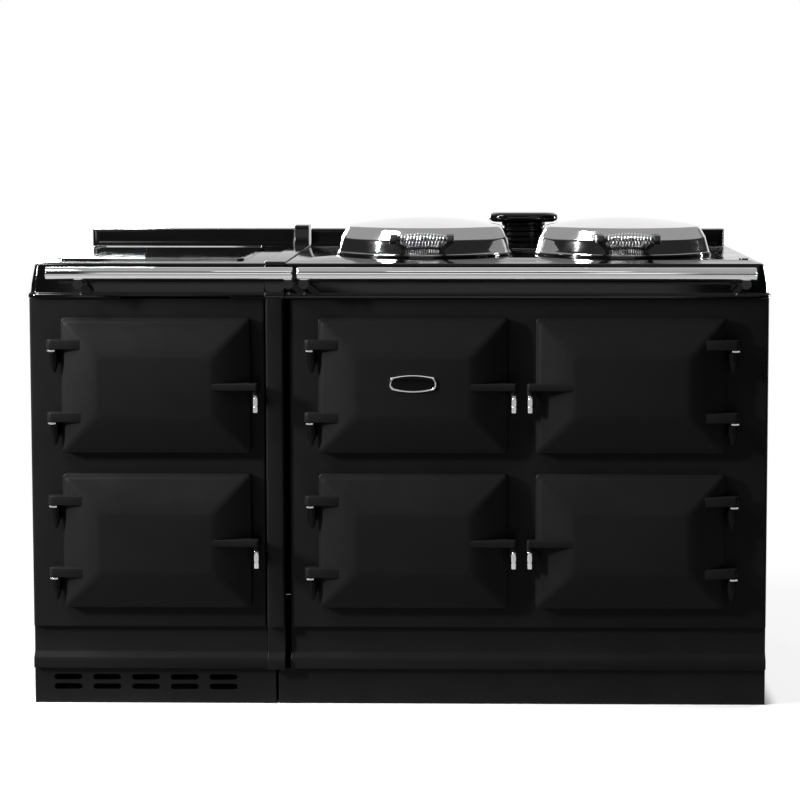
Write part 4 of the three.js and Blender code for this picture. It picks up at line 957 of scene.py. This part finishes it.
def handrail(name):
    """A closed tube with softly rounded ends, on two posts that end at the apron."""
    start, end = low(name), high(name)
    axis_y = start.y + RAIL_RADIUS
    axis_z = end.z - RAIL_RADIUS
    length = end.x - start.x
    profile = [(0.0, 0.0)]
    profile += [(RAIL_RADIUS - RAIL_END_BEND * (1 - math.sin(a)), RAIL_END_BEND * (1 - math.cos(a)))
                for a in RAIL_END_ANGLES]
    profile += [(radius, length - along) for radius, along in reversed(profile[1:])]
    profile.append((0.0, length))
    parts = [moved(turned_to(turned(profile, facets=64), "X"), (start.x, axis_y, axis_z))]
    first, last = RAIL_POST_INSETS[name]
    reach = end.y - axis_y
    edge_in, edge_along = RAIL_POST_EDGE
    post_profile = [
        (0.0, -RAIL_POST_AHEAD), (RAIL_POST_RADIUS, -RAIL_POST_AHEAD),
        (RAIL_POST_RADIUS, reach - RAIL_POST_FOOT), (RAIL_POST_RADIUS, reach - edge_along),
        (RAIL_POST_RADIUS - edge_in, reach), (0.0, reach),
    ]
    for x in (start.x + first, end.x - last):
        post = turned_to(turned(post_profile, facets=40), "Y")
        parts.append(moved(post, (x, axis_y, axis_z - RAIL_POST_DROP)))
    new_piece(f"{name}_tube", merged(*parts), body_of(name), CHROME, (name,))


for each in RAIL_POST_INSETS:
    handrail(each)

# ------------------------------------------------------------------ body, kept in the frame's form

PLATE_EDGE = 1.6 * MM
BRACKET_PROUD = 3 * MM      # what stands further ahead of the front plate is a bracket or a stud
PRESSED = {"segments": 2, "edge": KEPT_EDGE, "smooth": KEPT_SMOOTH}
CAST = {"segments": 3, "edge": KEPT_EDGE, "smooth": KEPT_SMOOTH}
CURVED = {"segments": 3, "edge": 40, "smooth": 50}   # castings whose curves are made of flats
KEPT = (                    # (nodes, finish, width of a rounded edge in mm, how it is rounded)
    (("left_base_moulding", "main_base_moulding", "joint_pillar"), SATIN, 1.4, CURVED),
    (("left_side_panel", "right_side_panel"), SATIN, 1.0, PRESSED),
    (("left_plinth", "main_plinth", "left_back_panel", "main_back_panel"), SHEET, 1.0, PRESSED),
    (("left_top_plate", "main_top_plate", "joint_strip"), GLOSS, 1.2, CURVED),
    (("left_back_riser", "main_back_riser", "vent_stem"), SHADED_RISER, 1.2, CURVED),
    (("vent_cap",), GLOSS, 1.2, CURVED),
    (("hob_glass",), GLASS, 0.8, CAST),
    (("hob_trim",), CHROME, 1.0, CAST),
    (("left_upper_oven", "left_lower_oven", "main_lower_left_oven", "main_upper_right_oven",
      "main_lower_right_oven"), IRON, 1.6, CAST),
    (("control_compartment",), BRUSHED, 1.2, PRESSED),
    (("left_hotplate_dial", "oven_dial", "right_hotplate_dial"), HANDLE, 0.5, {"edge": 40}),
)


def add_front_plate(node):
    """A front plate of satin enamel, its brackets and studs in a deeper black that is painted shade."""
    plate = softened(node, SATIN, PLATE_EDGE, **CAST)
    plate.data.materials.append(BRACKET_SHADE_AND_BADGE_BLACK.material)
    # Faces standing proud of the plate get the deeper black: painted shade.
    for face in plate.data.polygons:
        if face.center.y < FRONT_Y - BRACKET_PROUD:
            face.material_index = 1


for each in ("left_front_plate", "main_front_plate"):
    add_front_plate(each)
for kept_nodes, kept_finish, kept_width, rounding in KEPT:
    for each in kept_nodes:
        softened(each, kept_finish, kept_width * MM, **rounding)

# ------------------------------------------------------------------ floor, backdrop and light

# The world. Spans are of a unit direction's parts, from where a change starts to where it is done.
FILL = 0.03                 # the world's light on matt surfaces
BACKDROP_TOP = (0.5, 0.72)  # where the white backdrop ends, upwards
BACKDROP_SIDES = (0.3, 0.5)  # and at either side
BACKDROP_DEPTH = (0.2, 0.4)  # and where it begins, away from the camera
ROOM = 0.025                # the dim room round the camera, as mirrors see it
CEILING = 0.41              # its pale ceiling
CEILING_EDGE = (0.39, 0.5)
CEILING_SLOPE = 0.3         # how much further down it comes at the back
PANEL = 0.95                # its white panels in front
PANELS = ((-0.3, 0.22, 0.03, 0.34), (0.10, 0.36, 0.32, 0.50))  # each (left, right, bottom, top)
PANEL_DEPTH = (-0.3, -0.2)
PANEL_BLUR = 0.03           # how softly a panel ends, either way

FLOOR_REACH = 8.0           # metres each way from the middle
FLOOR_TONE = 0.93
FLOOR_ROUGHNESS = 0.9
FLOOR_GLOSS = 0.1
BOUNCE = 0.07               # the floor's colour for the light that it throws back
MIRRORED_FLOOR = 0.5        # the floor, as metal and glass show it
FOOTPRINT_IN = (0.01, 0.05)  # the cooker's footprint inside its bounds, in X and Y
CONTACT = (0.0, 0.04)       # metres outside the footprint over which the shadow at the foot fades
CONTACT_WHITE = 0.85        # and how white the floor is after it
FAR = (0.3, 1.6)            # metres over which the floor goes all white

LIGHTS = (                  # (name, place, the point it faces, width and height, watts)
    ("key", (-4.3, -2.0, 2.3), (0.0, 0.0, 0.6), (0.22, 0.9), 350.0),
    ("upper", (-2.22, -1.2, 3.5), (0.0, 0.0, 0.9), (1.3, 0.9), 170.0),
    ("front", (0.2, -2.9, 3.6), (0.0, 0.0, 0.6), (1.6, 0.6), 3.0),
    ("side", (3.4, 1.7, 0.9), (0.0, 0.0, 0.5), (0.1, 1.0), 100.0),
    ("back", (-1.5, 3.5, 1.3), (0.0, 0.3, 0.5), (0.8, 0.8), 90.0),
)


def panel_light(graph, side, up, in_front, panel):
    """How bright a panel is in a direction: full inside its four edges, none outside."""
    left, right, bottom, top = panel
    lit = in_front
    for value, edge, ends in ((side, left, (0.0, 1.0)), (side, right, (1.0, 0.0)),
                              (up, bottom, (0.0, 1.0)), (up, top, (1.0, 0.0))):
        span = (edge - PANEL_BLUR, edge + PANEL_BLUR)
        lit = graph.calculate("MULTIPLY", lit, graph.spread(value, span, ends, soft=True))
    return lit


def add_world():
    """A white studio: pale all round for matt surfaces, and with a dim room in front for mirrors."""
    world = bpy.data.worlds.new("studio")
    bpy.context.scene.world = world
    graph = Graph(world)
    fill = graph.nodes["Background"]
    fill.inputs["Color"].default_value = WHITE
    fill.inputs["Strength"].default_value = FILL
    toward = graph.nodes.new("ShaderNodeSeparateXYZ")
    graph.links.new(graph.nodes.new("ShaderNodeTexCoord").outputs["Generated"], toward.inputs[0])
    side, back, up = toward.outputs
    low_down = graph.spread(up, BACKDROP_TOP, (1.0, 0.0), soft=True)
    width = graph.spread(graph.calculate("ABSOLUTE", side), BACKDROP_SIDES, (1.0, 0.0), soft=True)
    behind = graph.calculate("MULTIPLY", graph.spread(back, BACKDROP_DEPTH, (0.0, 1.0), soft=True),
                             graph.calculate("MULTIPLY", width, low_down))
    sloped = graph.calculate("MULTIPLY_ADD", back, CEILING_SLOPE, up)
    ceiling = graph.spread(sloped, CEILING_EDGE, (ROOM, CEILING), soft=True)
    mirror = graph.calculate("MAXIMUM", behind, ceiling)
    in_front = graph.spread(back, PANEL_DEPTH, (PANEL, 0.0), soft=True)
    for panel in PANELS:
        mirror = graph.calculate("MAXIMUM", mirror, panel_light(graph, side, up, in_front, panel))
    camera = graph.nodes.new("ShaderNodeLightPath").outputs["Is Camera Ray"]
    shown = graph.white("ShaderNodeBackground", graph.calculate("MAXIMUM", mirror, camera))
    graph.show_apart(fill.outputs[0], shown, graph.nodes["World Output"].inputs["Surface"])


def outside_footprint(graph):
    """How far a point of the floor is outside the cooker's footprint, below 0 inside it."""
    place = graph.nodes.new("ShaderNodeSeparateXYZ")
    graph.links.new(graph.nodes.new("ShaderNodeTexCoord").outputs["Object"], place.inputs[0])
    beyond = []
    for axis, bound, inset in zip(("X", "Y"), CAD_BOUNDS[1], FOOTPRINT_IN):
        size = graph.calculate("ABSOLUTE", place.outputs[axis])
        beyond.append(graph.calculate("SUBTRACT", size, bound - inset))
    return graph.calculate("MAXIMUM", *beyond)


def floor_material():
    """Pale to the camera, whiter further out, and nearly black for the light it throws back."""
    material = bpy.data.materials.new("floor")
    graph = Graph(material)
    shader = graph.nodes["Principled BSDF"]
    shader.inputs["Base Color"].default_value = (FLOOR_TONE, FLOOR_TONE, FLOOR_TONE, 1.0)
    shader.inputs["Roughness"].default_value = FLOOR_ROUGHNESS
    shader.inputs["Specular IOR Level"].default_value = FLOOR_GLOSS
    dimmer = graph.nodes.new("ShaderNodeBsdfDiffuse")
    dimmer.inputs["Color"].default_value = (BOUNCE, BOUNCE, BOUNCE, 1.0)
    camera = graph.nodes.new("ShaderNodeLightPath").outputs["Is Camera Ray"]
    seen = graph.spread(camera, (0.0, 1.0), (MIRRORED_FLOOR, 1.0), soft=True)
    white = graph.white("ShaderNodeEmission", seen)
    away = outside_footprint(graph)
    near = graph.spread(away, CONTACT, (0.0, CONTACT_WHITE), soft=True)
    far = graph.spread(away, FAR, (0.0, 1 - CONTACT_WHITE), soft=True)
    fade = graph.mix(graph.calculate("ADD", near, far), shader.outputs[0], white)
    graph.show_apart(dimmer.outputs[0], fade, graph.nodes["Material Output"].inputs["Surface"])
    return material


def add_floor():
    """A pale floor that fades into the white backdrop and keeps the cooker's shadow."""
    bm = bmesh.new()
    bmesh.ops.create_grid(bm, x_segments=1, y_segments=1, size=FLOOR_REACH)
    mesh = bpy.data.meshes.new("floor")
    bm.to_mesh(mesh)
    bm.free()
    floor = bpy.data.objects.new("floor", mesh)
    bpy.context.scene.collection.objects.link(floor)
    floor.location.z = CAD_BOUNDS[0][2]
    mesh.materials.append(floor_material())


def add_light(name, place, target, size, power):
    """A soft box at a place, facing a target."""
    data = bpy.data.lights.new(name, "AREA")
    data.shape = "RECTANGLE"
    data.size, data.size_y = size
    data.energy = power
    lamp = bpy.data.objects.new(name, data)
    bpy.context.scene.collection.objects.link(lamp)
    lamp.location = place
    lamp.rotation_euler = (Vector(target) - Vector(place)).to_track_quat("-Z", "Y").to_euler()


add_world()
add_floor()
for light in LIGHTS:
    add_light(*light)
bpy.context.scene.view_settings.view_transform = "Standard"
